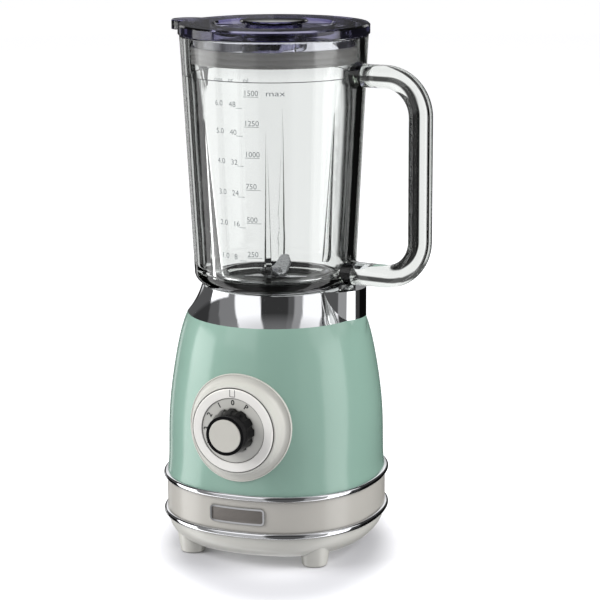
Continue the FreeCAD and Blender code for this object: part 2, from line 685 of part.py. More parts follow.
# ---------------------------------------------------------------- dial and knob
def make_dial_bezel():
    """The cream dish let into the shell round the dial, with a pedestal and a rear pocket."""
    low = DIAL_Z - BEZEL_RADIUS - 6
    high = DIAL_Z + BEZEL_RADIUS + 6
    plug = front_rod(BEZEL_RADIUS, BEZEL_BACK, SHELL_FOOT_HALF + 9)
    skin = plug.common(shell_form(BEZEL_PROUD, low, high, 4))
    cone = front_cone(DISH_FOOT_RADIUS, BEZEL_RADIUS - BEZEL_LIP, DIAL_POCKET_FLOOR, SHELL_FOOT_HALF + BEZEL_PROUD)
    cone = cone.cut(shell_form(BEZEL_PROUD - DISH_DEPTH, low, high, 4))
    pedestal = front_rod(PEDESTAL_RADIUS, BEZEL_BACK, PEDESTAL_FACE)
    pocket = block(SWITCH_SIZE + 1, 2 * (DIAL_POCKET_FLOOR - BEZEL_BACK), DIAL_Z - SWITCH_SIZE / 2 - 0.5,
                   SWITCH_SIZE + 1, 0, -BEZEL_BACK)
    bore = front_rod(SPINDLE_RADIUS + PLUNGER_GAP, BEZEL_BACK - 1, PEDESTAL_FACE + 1)
    return skin.cut(cone).fuse(pedestal).cut([pocket, bore])


def make_dial_ring():
    """The fixed cream ring round the numbers, with its square index mark at the top."""
    face = PEDESTAL_FACE + DIAL_RING_DEPTH
    ring = front_rod(DIAL_RING_RADIUS, PEDESTAL_FACE, face)
    ring = ring.makeChamfer(0.7, [e for e in ring.Edges if abs(e.BoundBox.YMin + face) < TINY
                                  and e.BoundBox.YLength < TINY])
    ring = ring.cut(front_rod(DISC_RADIUS + TURN_GAP, PEDESTAL_FACE - 1, face + 1))
    middle = (DIAL_RING_RADIUS + DISC_RADIUS + TURN_GAP) / 2
    mark = Part.makeBox(INDEX_SIZE, 0.5, INDEX_SIZE - 0.6,
                        Vector(-INDEX_SIZE / 2, -face - 0.4, DIAL_Z + middle - INDEX_SIZE / 2 + 0.3))
    return ring.fuse(mark)


def make_number_disc():
    """The disc that carries the speed marks and turns with the knob."""
    near = PEDESTAL_FACE + TURN_GAP
    disc = front_rod(DISC_RADIUS, near, near + DISC_THICKNESS)
    return disc.cut(front_rod(SPINDLE_RADIUS, near - 1, near + DISC_THICKNESS + 1))


def make_knob_grip():
    """The black grip: a tapering skirt with scalloped flutes behind a plain face ring."""
    near = PEDESTAL_FACE + TURN_GAP + DISC_THICKNESS
    far = near + KNOB_LENGTH
    grip = front_cone(KNOB_FOOT_RADIUS, KNOB_FACE_RADIUS, near, far)
    flutes = []
    for k in range(KNOB_LOBES):
        centre = polar(KNOB_FOOT_RADIUS + KNOB_FLUTE_RADIUS * 0.45, 360.0 * (k + 0.5) / KNOB_LOBES)
        flute = Part.makeCylinder(KNOB_FLUTE_RADIUS, KNOB_LENGTH * 0.72,
                                  Vector(centre.x, -near + TINY, DIAL_Z + centre.y), -Y_AXIS)
        flutes.append(flute)
    recess = front_rod(KNOB_CAP_RADIUS, far - KNOB_CAP_THICKNESS + 0.4, far + 1)
    bore = front_rod(SPINDLE_RADIUS, near - 1, far - KNOB_CAP_THICKNESS - 1)
    return grip.cut(flutes + [recess, bore])


def make_knob_cap():
    """The cream disc in the knob's face."""
    far = PEDESTAL_FACE + TURN_GAP + DISC_THICKNESS + KNOB_LENGTH
    near = far - KNOB_CAP_THICKNESS + 0.4
    cap = front_rod(KNOB_CAP_RADIUS, near, near + KNOB_CAP_THICKNESS)
    rim = [e for e in cap.Edges if e.BoundBox.YMin < -near - KNOB_CAP_THICKNESS + TINY and e.BoundBox.YLength < TINY]
    return cap.makeChamfer(0.5, rim)


def make_knob_spindle():
    """The switch's spindle, with a flat for the knob."""
    far = PEDESTAL_FACE + TURN_GAP + DISC_THICKNESS + KNOB_LENGTH - KNOB_CAP_THICKNESS - 1
    near = DIAL_POCKET_FLOOR - SWITCH_DEPTH + 4
    return front_rod(SPINDLE_RADIUS, near, far)


def make_rotary_switch():
    """The speed switch in the bezel's rear pocket, with its terminals."""
    near = DIAL_POCKET_FLOOR - SWITCH_DEPTH
    body = block(SWITCH_SIZE, SWITCH_DEPTH, DIAL_Z - SWITCH_SIZE / 2, SWITCH_SIZE, 0, -near - SWITCH_DEPTH / 2)
    tags = [block(4.0, 6.2, DIAL_Z - 0.4 + 8.0 * row, 0.8, 7.0 * column, -near + 3.0)
            for row in (-1, 1) for column in (-1, 0, 1)]
    bore = front_rod(SPINDLE_RADIUS + PLUNGER_GAP, near + 4 - PLUNGER_GAP, DIAL_POCKET_FLOOR + 1)
    return body.multiFuse(tags).cut(bore)


# ---------------------------------------------------------------- motor
def window_length():
    """Length of the air windows, which end short of the brackets' legs."""
    return 2 * (TIE_Y - TIE_RADIUS - 2.5)


def make_upper_bracket():
    """The upper end plate: four legs on the stator, damper holes and the bearing's housing."""
    top = UPPER_BRACKET_Z + BRACKET_THICKNESS
    plate = block(2 * BRACKET_HALF, 2 * BRACKET_HALF, UPPER_BRACKET_Z, BRACKET_THICKNESS)
    plate = plate.makeFillet(BRACKET_CORNER, [e for e in plate.Edges if e.BoundBox.ZLength > BRACKET_THICKNESS / 2])
    legs = at_corners(rod(TIE_RADIUS, STATOR_TOP, BRACKET_LEG), TIE_X, TIE_Y)
    housing = rod(BEARING_HOUSING_RADIUS, UPPER_BRACKET_Z, BEARING_HEIGHT + 1.5)
    holes = at_corners(rod(DAMPER_NECK_RADIUS, UPPER_BRACKET_Z - 1, BRACKET_THICKNESS + 2), DAMPER_SPREAD, DAMPER_SPREAD)
    holes += at_corners(rod(SCREW_RADIUS, STATOR_TOP - 1, BRACKET_LEG + BRACKET_THICKNESS + 2), TIE_X, TIE_Y)
    holes += [rod(BEARING_RADIUS, UPPER_BRACKET_Z - 1, BEARING_HEIGHT + 1), rod(SHAFT_RADIUS + 1.5, UPPER_BRACKET_Z, 30)]
    window = block(WINDOW_WIDTH, window_length(), UPPER_BRACKET_Z - 1, BRACKET_THICKNESS + 2, WINDOW_X)
    holes += [window, turned(window, 180)]
    bracket = plate.multiFuse(legs + [housing])
    return bracket.cut(holes).common(rod(BRACKET_HALF * 2, 0, top + BEARING_HEIGHT))


def make_lower_bracket():
    """The lower end plate, with long legs past the commutator."""
    plate = block(2 * TIE_X + 14, 2 * TIE_Y + 14, LOWER_BRACKET_Z, BRACKET_THICKNESS)
    plate = plate.makeFillet(BRACKET_CORNER / 2, [e for e in plate.Edges if e.BoundBox.ZLength > BRACKET_THICKNESS / 2])
    legs = at_corners(rod(TIE_RADIUS, LOWER_BRACKET_TOP, LOWER_LEG), TIE_X, TIE_Y)
    housing_z = LOWER_BRACKET_TOP - BEARING_HEIGHT
    housing = rod(BEARING_HOUSING_RADIUS, housing_z, BEARING_HEIGHT)
    holes = at_corners(rod(SCREW_RADIUS, LOWER_BRACKET_Z - 1, BRACKET_THICKNESS + LOWER_LEG + 2), TIE_X, TIE_Y)
    holes += [rod(BEARING_RADIUS, housing_z - 1, BEARING_HEIGHT + 1), rod(SHAFT_RADIUS + 1.5, 0, 200)]
    window = block(WINDOW_WIDTH, window_length(), LOWER_BRACKET_Z - 1, BRACKET_THICKNESS + 2, WINDOW_X)
    holes += [window, turned(window, 180)]
    return plate.multiFuse(legs + [housing]).cut(holes)


def make_bearing(z):
    """A shielded ball bearing, with the shield's groove on each face."""
    bearing = tube(BEARING_RADIUS, SHAFT_RADIUS + RUNNING_GAP, z, BEARING_HEIGHT)
    grooves = [tube(BEARING_RADIUS - 2.2, SHAFT_RADIUS + 2.2, z - 1, 1.5),
               tube(BEARING_RADIUS - 2.2, SHAFT_RADIUS + 2.2, z + BEARING_HEIGHT - 0.5, 1.5)]
    return bearing.cut(grooves)


def make_motor_dampers():
    """Rubber spools in the upper bracket's holes."""
    low = UPPER_BRACKET_Z - DAMPER_FLANGE
    spool = rod(DAMPER_RADIUS, low, DAMPER_FLANGE)
    spool = spool.fuse(rod(DAMPER_NECK_RADIUS, UPPER_BRACKET_Z, BRACKET_THICKNESS))
    spool = spool.fuse(rod(DAMPER_RADIUS, UPPER_BRACKET_Z + BRACKET_THICKNESS, DAMPER_FLANGE))
    spool = spool.cut(rod(SCREW_RADIUS, low - 1, 20))
    return at_corners(spool, DAMPER_SPREAD, DAMPER_SPREAD)


def make_motor_screws():
    """Screws up through the dampers into the shell's posts."""
    one = screw(SCREW_HEAD_RADIUS, SCREW_HEAD_HEIGHT, 2 * DAMPER_FLANGE + BRACKET_THICKNESS + 9)
    one.translate(Vector(0, 0, UPPER_BRACKET_Z - DAMPER_FLANGE - SCREW_HEAD_HEIGHT))
    return at_corners(one, DAMPER_SPREAD, DAMPER_SPREAD)


def make_tie_bolts():
    """Long bolts that clamp both brackets to the stator."""
    length = UPPER_BRACKET_Z + BRACKET_THICKNESS - LOWER_BRACKET_Z
    one = rod(3.4, LOWER_BRACKET_Z - 2.4, 2.4).fuse(rod(SCREW_RADIUS - 0.05, LOWER_BRACKET_Z, length))
    return at_corners(one, TIE_X, TIE_Y)


def make_stator_core():
    """The laminated field stack, with two salient poles round the armature."""
    body = block(STATOR_LENGTH, STATOR_WIDTH, STATOR_Z, STACK_HEIGHT)
    body = body.makeFillet(STATOR_CORNER, [e for e in body.Edges if e.BoundBox.ZLength > STACK_HEIGHT / 2])
    window = block(STATOR_LENGTH - 2 * STATOR_YOKE, STATOR_WIDTH - 2 * STATOR_YOKE, STATOR_Z - 1, STACK_HEIGHT + 2)
    window = window.makeFillet(STATOR_CORNER - 4, [e for e in window.Edges if e.BoundBox.ZLength > STACK_HEIGHT / 2])
    bore = ARMATURE_RADIUS + AIR_GAP
    shoe = rod(bore + POLE_SHOE, STATOR_Z, STACK_HEIGHT)
    shoe = shoe.cut(block(200, 1.15 * bore, STATOR_Z - 1, STACK_HEIGHT + 2, 0, bore * 1.35))
    shoe = shoe.cut(block(200, 1.15 * bore, STATOR_Z - 1, STACK_HEIGHT + 2, 0, -bore * 1.35))
    pole = block(STATOR_LENGTH - STATOR_YOKE, POLE_WIDTH, STATOR_Z, STACK_HEIGHT)
    core = body.cut(window).multiFuse([shoe, pole]).cut(rod(bore, STATOR_Z - 1, STACK_HEIGHT + 2))
    bolts = at_corners(rod(SCREW_RADIUS, STATOR_Z - 1, STACK_HEIGHT + 2), TIE_X, TIE_Y)
    return core.cut(bolts)


def make_field_coils():
    """Two field coils, each wound round a pole."""
    inner = ARMATURE_RADIUS + AIR_GAP + POLE_SHOE + COIL_GAP
    outer = STATOR_LENGTH / 2 - STATOR_YOKE - COIL_GAP
    middle = (inner + outer) / 2
    z = STATOR_Z - COIL_OVERHANG
    height = STACK_HEIGHT + 2 * COIL_OVERHANG
    coil = block(outer - inner, POLE_WIDTH + 2 * COIL_WIDTH, z, height, middle)
    coil = coil.makeFillet(5.0, [e for e in coil.Edges if e.BoundBox.XLength > (outer - inner) / 2])
    hole = block(outer, POLE_WIDTH + 2 * COIL_GAP, STATOR_Z - COIL_GAP, STACK_HEIGHT + 2 * COIL_GAP, middle)
    coil = coil.cut(hole)
    return [coil, turned(coil, 180)]


def make_rotor_shaft():
    """The motor's shaft, from the fan to the drive coupling."""
    low = FAN_TOP - FAN_BLADE_HEIGHT - FAN_DISC
    return rod(SHAFT_RADIUS, low, STAR_TOP - 1.0 - low)


def make_armature_core():
    """The slotted armature stack."""
    core = tube(ARMATURE_RADIUS, SHAFT_RADIUS, STATOR_Z, STACK_HEIGHT)
    slot = block(ARMATURE_SLOT_DEPTH, ARMATURE_SLOT_WIDTH, STATOR_Z - 1, STACK_HEIGHT + 2,
                 ARMATURE_RADIUS - ARMATURE_SLOT_DEPTH / 2 + 0.5)
    return core.cut(around(slot, ARMATURE_SLOTS))


def make_armature_windings():
    """The armature's end windings, one bundle at each end of the stack."""
    inner = SHAFT_RADIUS
    rise = WINDING_HEIGHT
    edges = outline([(inner, 0), (WINDING_RADIUS, 0), (WINDING_RADIUS, rise * 0.5), (WINDING_RADIUS - 3, rise), (inner, rise)])
    upper = moved(revolved(edges), 0, 0, STATOR_TOP)
    lower = upper.mirror(Vector(0, 0, STATOR_Z + STACK_HEIGHT / 2), Z_AXIS)
    return [upper, lower]


def make_commutator():
    """The copper commutator under the windings, with a cut between its bars."""
    top = STATOR_Z - WINDING_HEIGHT
    body = tube(COMMUTATOR_RADIUS, SHAFT_RADIUS, top - COMMUTATOR_HEIGHT, COMMUTATOR_HEIGHT)
    cut = block(1.2, 0.8, top - COMMUTATOR_HEIGHT - 1, COMMUTATOR_HEIGHT - 2, COMMUTATOR_RADIUS)
    return body.cut(around(cut, COMMUTATOR_BARS, 15))


def brush_z():
    """Height of the brushes' middle, level with the commutator."""
    return STATOR_Z - WINDING_HEIGHT - COMMUTATOR_HEIGHT / 2 - 1.0


def make_carbon_brushes():
    """Two carbon brushes, front and rear of the commutator."""
    near = COMMUTATOR_RADIUS + REST_GAP
    one = block(BRUSH_WIDTH, BRUSH_LENGTH, brush_z() - BRUSH_HEIGHT / 2, BRUSH_HEIGHT, 0, near + BRUSH_LENGTH / 2)
    return [one, turned(one, 180)]


def make_brush_holders():
    """Two holders that stand on the lower bracket, each open to the commutator."""
    near = COMMUTATOR_RADIUS + 2.5
    length = BRUSH_LENGTH - 1.0
    top = brush_z() + BRUSH_HEIGHT / 2 + HOLDER_WALL
    outer = block(BRUSH_WIDTH + 2 * HOLDER_WALL, length, LOWER_BRACKET_TOP, top - LOWER_BRACKET_TOP, 0, near + length / 2)
    channel = block(BRUSH_WIDTH + 0.2, length + 4, brush_z() - BRUSH_HEIGHT / 2 - 0.1, BRUSH_HEIGHT + 0.2, 0, near + length / 2)
    one = outer.cut(channel)
    return [one, turned(one, 180)]


def make_cooling_fan():
    """The fan under the motor, which draws air down and out through the tray."""
    hub_z = FAN_TOP - FAN_BLADE_HEIGHT - FAN_DISC
    disc = rod(FAN_RADIUS, FAN_TOP - FAN_DISC, FAN_DISC)
    hub = rod(FAN_HUB_RADIUS, hub_z, FAN_BLADE_HEIGHT + FAN_DISC)
    blade = block(FAN_RADIUS - FAN_HUB_RADIUS, 1.6, FAN_TOP - FAN_DISC - FAN_BLADE_HEIGHT, FAN_BLADE_HEIGHT,
                  (FAN_RADIUS + FAN_HUB_RADIUS) / 2 - 0.6)
    blades = around(blade, FAN_BLADES)
    return disc.multiFuse([hub] + blades).cut(rod(SHAFT_RADIUS, 0, 200))


# ---------------------------------------------------------------- drive coupling
def star_block(grow, z, height):
    """The six-lobed drive star, grown all round by a clearance."""
    points = []
    step = 360.0 / STAR_LOBES
    for k in range(STAR_LOBES):
        for angle, radius in ((-0.24, STAR_RADIUS), (0.24, STAR_RADIUS), (0.36, STAR_ROOT_RADIUS), (0.64, STAR_ROOT_RADIUS)):
            points.append(polar(radius, (k + angle) * step, z))
    face = Part.Face(Part.makePolygon(points + [points[0]]))
    if grow:
        face = face.makeOffset2D(grow, 0)
    return face.extrude(Vector(0, 0, height))


def make_drive_coupling():
    """The rubber star on the motor's shaft."""
    flange = rod(STAR_FLANGE_RADIUS, STAR_Z, STAR_FLANGE)
    star = star_block(0, STAR_FACE, STAR_HEIGHT)
    return flange.fuse(star).cut(rod(SHAFT_RADIUS, 0, STAR_TOP - 1.0))


def make_drive_dog():
    """The lobed cup under the jug that drops over the star."""
    cup = rod(DOG_RADIUS, DOG_Z, DOG_END - DOG_Z)
    socket = star_block(MESH_GAP, DOG_Z - 1, DOG_CAP_Z - DOG_Z + 1)
    return cup.cut([socket, rod(SHAFT_RADIUS, 0, DECK_Z + 100)])


# ---------------------------------------------------------------- interlock
def make_interlock_plunger():
    """The pin that the handle's heel holds down, with its stop collar."""
    low = DECK_UNDERSIDE - MICROSWITCH_DROP + REST_GAP
    pin = rod(PLUNGER_RADIUS, low, GLASS_Z - REST_GAP - low, INTERLOCK_REACH)
    stop_top = DECK_UNDERSIDE - PLUNGER_TRAVEL - REST_GAP
    stop = rod(PLUNGER_COLLAR_RADIUS, stop_top - 2.4, 2.4, INTERLOCK_REACH)
    return turned(pin.fuse(stop), JUG_TURN)


def make_interlock_switch():
    """The microswitch under the plunger."""
    top = DECK_UNDERSIDE - MICROSWITCH_DROP
    body = block(MICROSWITCH_WIDTH, MICROSWITCH_LENGTH, top - MICROSWITCH_HEIGHT, MICROSWITCH_HEIGHT, INTERLOCK_REACH)
    tags = [block(3.2, 0.8, top - MICROSWITCH_HEIGHT - 5, 5.2, INTERLOCK_REACH, y) for y in (-9.0, 0.0, 9.0)]
    return turned(body.multiFuse(tags), JUG_TURN)


# ---------------------------------------------------------------- jug
def glass_outer_radius(z):
    """Outside radius of the glass wall, a straight taper from its heel to the rim."""
    share = (z - GLASS_Z) / GLASS_HEIGHT
    return GLASS_FOOT_RADIUS + (GLASS_RIM_RADIUS - GLASS_FOOT_RADIUS) * share


def glass_inner_radius(z):
    """Inside radius of the glass wall."""
    return glass_outer_radius(z) - GLASS_WALL


def jug_blank():
    """The jug's outside, with the neck below its shoulder, as one solid of revolution."""
    low = GLASS_Z + GLASS_HEEL_RADIUS
    heel = glass_outer_radius(low)
    inward = GLASS_HEEL_RADIUS * math.sin(math.pi / 4)
    heel_mid = (heel - GLASS_HEEL_RADIUS + inward, low - inward)
    soft = GLASS_RIM_ROUND
    return revolved(outline([
        (0, NECK_Z), (NECK_RADIUS, NECK_Z), (NECK_RADIUS, GLASS_Z), (heel - GLASS_HEEL_RADIUS, GLASS_Z),
        [heel_mid, (heel, low)], (glass_outer_radius(RIM_Z - soft), RIM_Z - soft),
        [(GLASS_RIM_RADIUS - soft * 0.3, RIM_Z - soft * 0.3), (GLASS_RIM_RADIUS - soft, RIM_Z)], (0, RIM_Z)]))


def jug_cavity():
    """The space inside the jug: the neck's bore, the rounded floor, the wall and the lid seal's seat."""
    floor = GLASS_Z + GLASS_FLOOR
    wall_z = floor + GLASS_HEEL_RADIUS
    wall = glass_inner_radius(wall_z)
    step_z = RIM_Z - SEAL_STEP_DROP
    step = glass_inner_radius(step_z)
    bend = (wall - (wall - FLOOR_RING_RADIUS) * 0.22, floor + GLASS_HEEL_RADIUS * 0.3)
    return revolved(outline([
        (0, NECK_Z - 1), (NECK_BORE, NECK_Z - 1), (NECK_BORE, floor - 4.5), (FLOOR_RING_RADIUS, floor),
        [bend, (wall, wall_z)], (step, step_z), (step + SEAL_STEP, step_z + 0.6),
        (glass_inner_radius(RIM_Z) + SEAL_STEP, RIM_Z + 1), (0, RIM_Z + 1)]))


def jug_ribs():
    """Four inner ribs, broad and deep at the floor and fading to a point up the wall."""
    low = GLASS_Z + GLASS_FLOOR + 2.0
    high = RIM_Z - RIB_TOP_DROP
    sections = []
    for z, width, depth in ((low, RIB_WIDTH, RIB_DEPTH), (high, RIB_WIDTH * 0.2, RIB_DEPTH * 0.05)):
        root = glass_inner_radius(z) + 2.0
        tip = glass_inner_radius(z) - depth
        corners = [Vector(root, -width / 2, z), Vector(tip, -width * 0.28, z), Vector(tip, width * 0.28, z), Vector(root, width / 2, z)]
        sections.append(Part.makePolygon(corners + [corners[0]]))
    rib = Part.makeLoft(sections, True, True)
    return [turned(rib, side + tilt) for side in (-90, 90) for tilt in (-RIB_ANGLE, RIB_ANGLE)]


def grip_section(scale, centre, across):
    """An oval section of the handle at a point, with its short axis along a direction."""
    wide = GRIP_WIDTH / 2 * scale
    deep = GRIP_DEPTH / 2 * scale
    ellipse = Part.Ellipse(centre + Y_AXIS * wide, centre + across * deep, centre)
    return Part.Wire(ellipse.toShape())


def jug_handle():
    """The oval glass handle: two arms, two round corners and an upright grip."""
    top = RIM_Z - HANDLE_TOP_DROP
    foot = GLASS_Z + HANDLE_FOOT_RISE
    corner = HANDLE_CORNER
    cut = corner * (1 - math.sin(math.pi / 4))
    start = Vector(glass_inner_radius(top) + 2.5, 0, top)
    upper = Vector(HANDLE_REACH - corner, 0, top)
    upper_mid = Vector(HANDLE_REACH - cut, 0, top - cut)
    grip_top = Vector(HANDLE_REACH, 0, top - corner)
    grip_foot = Vector(HANDLE_REACH, 0, foot + corner)
    lower_mid = Vector(HANDLE_REACH - cut, 0, foot + cut)
    lower = Vector(HANDLE_REACH - corner, 0, foot)
    end = Vector(glass_inner_radius(foot + 4) - 1.0, 0, foot)
    path = Part.Wire([
        Part.LineSegment(start, upper).toShape(), Part.Arc(upper, upper_mid, grip_top).toShape(),
        Part.LineSegment(grip_top, grip_foot).toShape(), Part.Arc(grip_foot, lower_mid, lower).toShape(),
        Part.LineSegment(lower, end).toShape()])
    bar = path.makePipeShell([grip_section(1.0, start, Z_AXIS)], True, False)
    roots = []
    for z, inner in ((top, start), (foot, end)):
        wall = glass_outer_radius(z)
        wires = [grip_section(1.22, Vector(wall - 3.0, 0, z), Z_AXIS), grip_section(1.0, Vector(wall + 9.0, 0, z), Z_AXIS)]
        roots.append(Part.makeLoft(wires, True, True))
    heel = rod(HEEL_RADIUS, GLASS_Z, HANDLE_FOOT_RISE, INTERLOCK_REACH)
    return fused([bar] + roots + [heel])


def spout_cone(shrink, over):
    """The pouring lip as a leaning half-cone opposite the handle, run on above the rim."""
    apex = -glass_outer_radius(RIM_Z - SPOUT_DROP) + 3.0 + shrink
    stretch = 1 + over / SPOUT_DROP
    radius = SPOUT_TIP + (SPOUT_RADIUS - shrink - SPOUT_TIP) * stretch
    centre = apex - (SPOUT_OFFSET + apex) * stretch
    big = Part.Circle(Vector(centre, 0, RIM_Z + over), Z_AXIS, radius)
    small = Part.Circle(Vector(apex, 0, RIM_Z - SPOUT_DROP), Z_AXIS, SPOUT_TIP)
    return Part.makeLoft([Part.Wire(small.toShape()), Part.Wire(big.toShape())], True, True)


def make_glass_jug():
    """The pressed-glass jug in one piece: wall, ribs, spout, handle and threaded neck."""
    outside = jug_blank().fuse(spout_cone(0, 0)).fuse(jug_handle())
    ribs = [rib.common(jug_blank()) for rib in jug_ribs()]
    jug = outside.cut([jug_cavity(), spout_cone(SPOUT_WALL, 3.0)]).multiFuse(ribs)
    return turned(jug.removeSplitter(), JUG_TURN)


def make_jug_base_ring():
    """The screwed ring under the jug, notched for the seat's lugs."""
    height = GLASS_Z - REST_GAP - RING_Z
    ring = rod(RING_RADIUS, RING_Z, height)
    bore = rod(NECK_RADIUS + RING_THREAD_GAP, CARRIER_FLANGE_Z, height)
    hole = rod(RING_HOLE_RADIUS, RING_Z - 1, height)
    notch = block(RING_NOTCH_DEPTH * 2, SEAT_LUG_WIDTH + 1.6, RING_Z - 1, 12.0, RING_RADIUS)
    return turned(ring.cut([bore, hole] + around(notch, SEAT_LUG_COUNT, 45)), JUG_TURN)


def make_blade_carrier():
    """The disc that closes the jug's neck and carries the blade shaft's bushes."""
    crown = 1.5
    body = revolved(outline([
        (0, HUB_Z), (HUB_RADIUS, HUB_Z), (HUB_RADIUS, CARRIER_FLANGE_Z), (NECK_RADIUS - 0.4, CARRIER_FLANGE_Z),
        (NECK_RADIUS - 0.4, CARRIER_FLANGE_TOP), (CARRIER_PLUG_RADIUS, CARRIER_FLANGE_TOP),
        (CARRIER_PLUG_RADIUS, CARRIER_TOP - crown - 1), (CARRIER_PLUG_RADIUS - 1, CARRIER_TOP - crown),
        (HUB_RADIUS, CARRIER_TOP - crown), (HUB_RADIUS - crown, CARRIER_TOP), (0, CARRIER_TOP)]))
    bores = [rod(SHAFT_RADIUS + 0.8, HUB_Z - 1, 60), rod(BUSH_RADIUS, HUB_Z - 1, BUSH_LENGTH + 1),
             rod(BUSH_RADIUS, CARRIER_TOP - BUSH_LENGTH - 2.4, BUSH_LENGTH + 5)]
    return body.cut(bores)


def make_bush(z):
    """A sintered bearing bush for the blade shaft."""
    return tube(BUSH_RADIUS, SHAFT_RADIUS + RUNNING_GAP, z, BUSH_LENGTH)


def make_shaft_seal():
    """The rubber lip seal over the upper bush."""
    z = CARRIER_TOP - 2.4
    return tube(BUSH_RADIUS, SHAFT_RADIUS + RUNNING_GAP, z, 2.0)


def make_carrier_seal():
    """The flat ring between the glass neck and the carrier's flange."""
    return tube(NECK_RADIUS - 0.4, CARRIER_PLUG_RADIUS, CARRIER_FLANGE_TOP, CARRIER_SEAL)


# ---------------------------------------------------------------- blades
def blade_pair(reach, z, bend, hub_height):
    """Two opposed blades from one pressing: a flat hub and two bent, tapering, bevelled arms."""
    hub = rod(BLADE_HUB_RADIUS, z, hub_height)
    flat_end = BLADE_HUB_RADIUS + 1.0
    flat = block(2 * flat_end, BLADE_ROOT_WIDTH * 0.9, z, hub_height)
    length = (reach - flat_end) / math.cos(math.radians(bend))
    plan = [Vector(-0.6, -BLADE_ROOT_WIDTH * 0.45, 0), Vector(length * 0.55, -BLADE_ROOT_WIDTH * 0.42, 0),
            Vector(length, -BLADE_TIP_WIDTH * 0.1, 0), Vector(length * 0.92, BLADE_TIP_WIDTH * 0.62, 0),
            Vector(-0.6, BLADE_ROOT_WIDTH * 0.45, 0)]
    arm = Part.Face(Part.makePolygon(plan + [plan[0]])).extrude(Vector(0, 0, hub_height))
    edge = [e for e in arm.Edges if abs(e.BoundBox.ZMin - hub_height) < TINY and e.BoundBox.YMax < 0.1
            and e.BoundBox.XLength > length * 0.3]
    arm = arm.makeChamfer(hub_height * 0.6, edge)
    arm.rotate(Vector(0, 0, 0), Y_AXIS, -bend)
    arm.translate(Vector(flat_end, 0, z))
    return fused([hub, flat, arm, turned(arm, 180)])


def shaft_hole():
    """The hole through everything clamped on the blade shaft."""
    return rod(THREAD_RADIUS, 0, RIM_Z)


def make_lower_blades():
    """The lower pair, pitched slightly down over the floor."""
    return blade_pair(LOWER_BLADE_REACH, SHOULDER_Z, -LOWER_BLADE_FALL, BLADE_THICKNESS).cut(shaft_hole())


def make_blade_washer():
    """The spacer between the two pairs of blades."""
    return tube(NUT_RADIUS + 0.6, THREAD_RADIUS, SHOULDER_Z + BLADE_THICKNESS, BLADE_SPACER)


def make_upper_blades():
    """The upper pair, set square to the lower pair and bent up."""
    pair = blade_pair(UPPER_BLADE_REACH, nut_z() - BLADE_THICKNESS, UPPER_BLADE_RISE, BLADE_THICKNESS)
    return turned(pair.cut(shaft_hole()), 90)


def nut_z():
    """Height of the nut's seat on the upper blades."""
    return SHOULDER_Z + 2 * BLADE_THICKNESS + BLADE_SPACER


def make_blade_nut():
    """The domed cap nut that clamps the blades."""
    z = nut_z()
    corners = [polar(NUT_RADIUS, 60 * k, z) for k in range(6)]
    hexagon = Part.Face(Part.makePolygon(corners + [corners[0]])).extrude(Vector(0, 0, NUT_HEIGHT))
    dome = Part.makeCone(NUT_RADIUS * 1.25, NUT_RADIUS * 0.55, NUT_HEIGHT, Vector(0, 0, z), Z_AXIS)
    return hexagon.common(dome).cut(rod(THREAD_RADIUS, z - 1, NUT_HEIGHT))


def make_blade_shaft():
    """The blade shaft: a journal through the bushes and a thinner threaded end."""
    low = DOG_CAP_Z
    end = nut_z() + NUT_HEIGHT - 1.3
    return rod(SHAFT_RADIUS, low, SHOULDER_Z - low).fuse(rod(THREAD_RADIUS, SHOULDER_Z, end - SHOULDER_Z))


# ---------------------------------------------------------------- lid and cap
def make_lid():
    """The smoky lid: stepped top, rim, skirt, cap socket with slits, and the tab over the spout."""
    plate_z = LID_TOP - LID_PLATE
    well_under = LID_WELL_Z - LID_PLATE
    skirt_z = LID_Z - LID_SKIRT_DROP
    socket_z = LID_WELL_Z - SOCKET_DROP
    socket_in = SOCKET_RADIUS - SOCKET_WALL
    skirt_in = LID_SKIRT_RADIUS - LID_SKIRT_WALL
    body = revolved(outline([
        (socket_in, socket_z), (SOCKET_RADIUS, socket_z), (SOCKET_RADIUS, well_under), (LID_WELL_RADIUS, well_under),
        (LID_WELL_RADIUS + 2.4, plate_z), (skirt_in, plate_z), (skirt_in, skirt_z), (LID_SKIRT_RADIUS, skirt_z),
        (LID_SKIRT_RADIUS, LID_Z), (LID_RIM_RADIUS, LID_Z), (LID_RIM_RADIUS, LID_TOP - 1.2),
        (LID_RIM_RADIUS - 1.2, LID_TOP), (LID_WELL_RADIUS + 1.6, LID_TOP), (LID_WELL_RADIUS - 1.0, LID_WELL_Z),
        (socket_in, LID_WELL_Z)]))
    tab = block(TAB_REACH - TAB_WIDTH / 2 - LID_SKIRT_RADIUS, TAB_WIDTH, LID_Z, LID_RIM_HEIGHT,
                -(TAB_REACH - TAB_WIDTH / 2 + LID_SKIRT_RADIUS) / 2)
    tab = tab.fuse(rod(TAB_WIDTH / 2, LID_Z, LID_RIM_HEIGHT, -(TAB_REACH - TAB_WIDTH / 2))).removeSplitter()
    tab = tab.makeFillet(1.2, [e for e in edges_at(tab, LID_TOP, LID_RIM_RADIUS)])
    tab = tab.cut(rod(LID_SKIRT_RADIUS, 0, 500))
    slit = block(SOCKET_WALL * 3, SOCKET_SLIT_WIDTH, socket_z - 1, SOCKET_DROP - 6.0, SOCKET_RADIUS - SOCKET_WALL / 2)
    lid = body.fuse(tab).cut(around(slit, SOCKET_SLITS, 360.0 / SOCKET_SLITS / 2))
    return turned(lid, JUG_TURN)


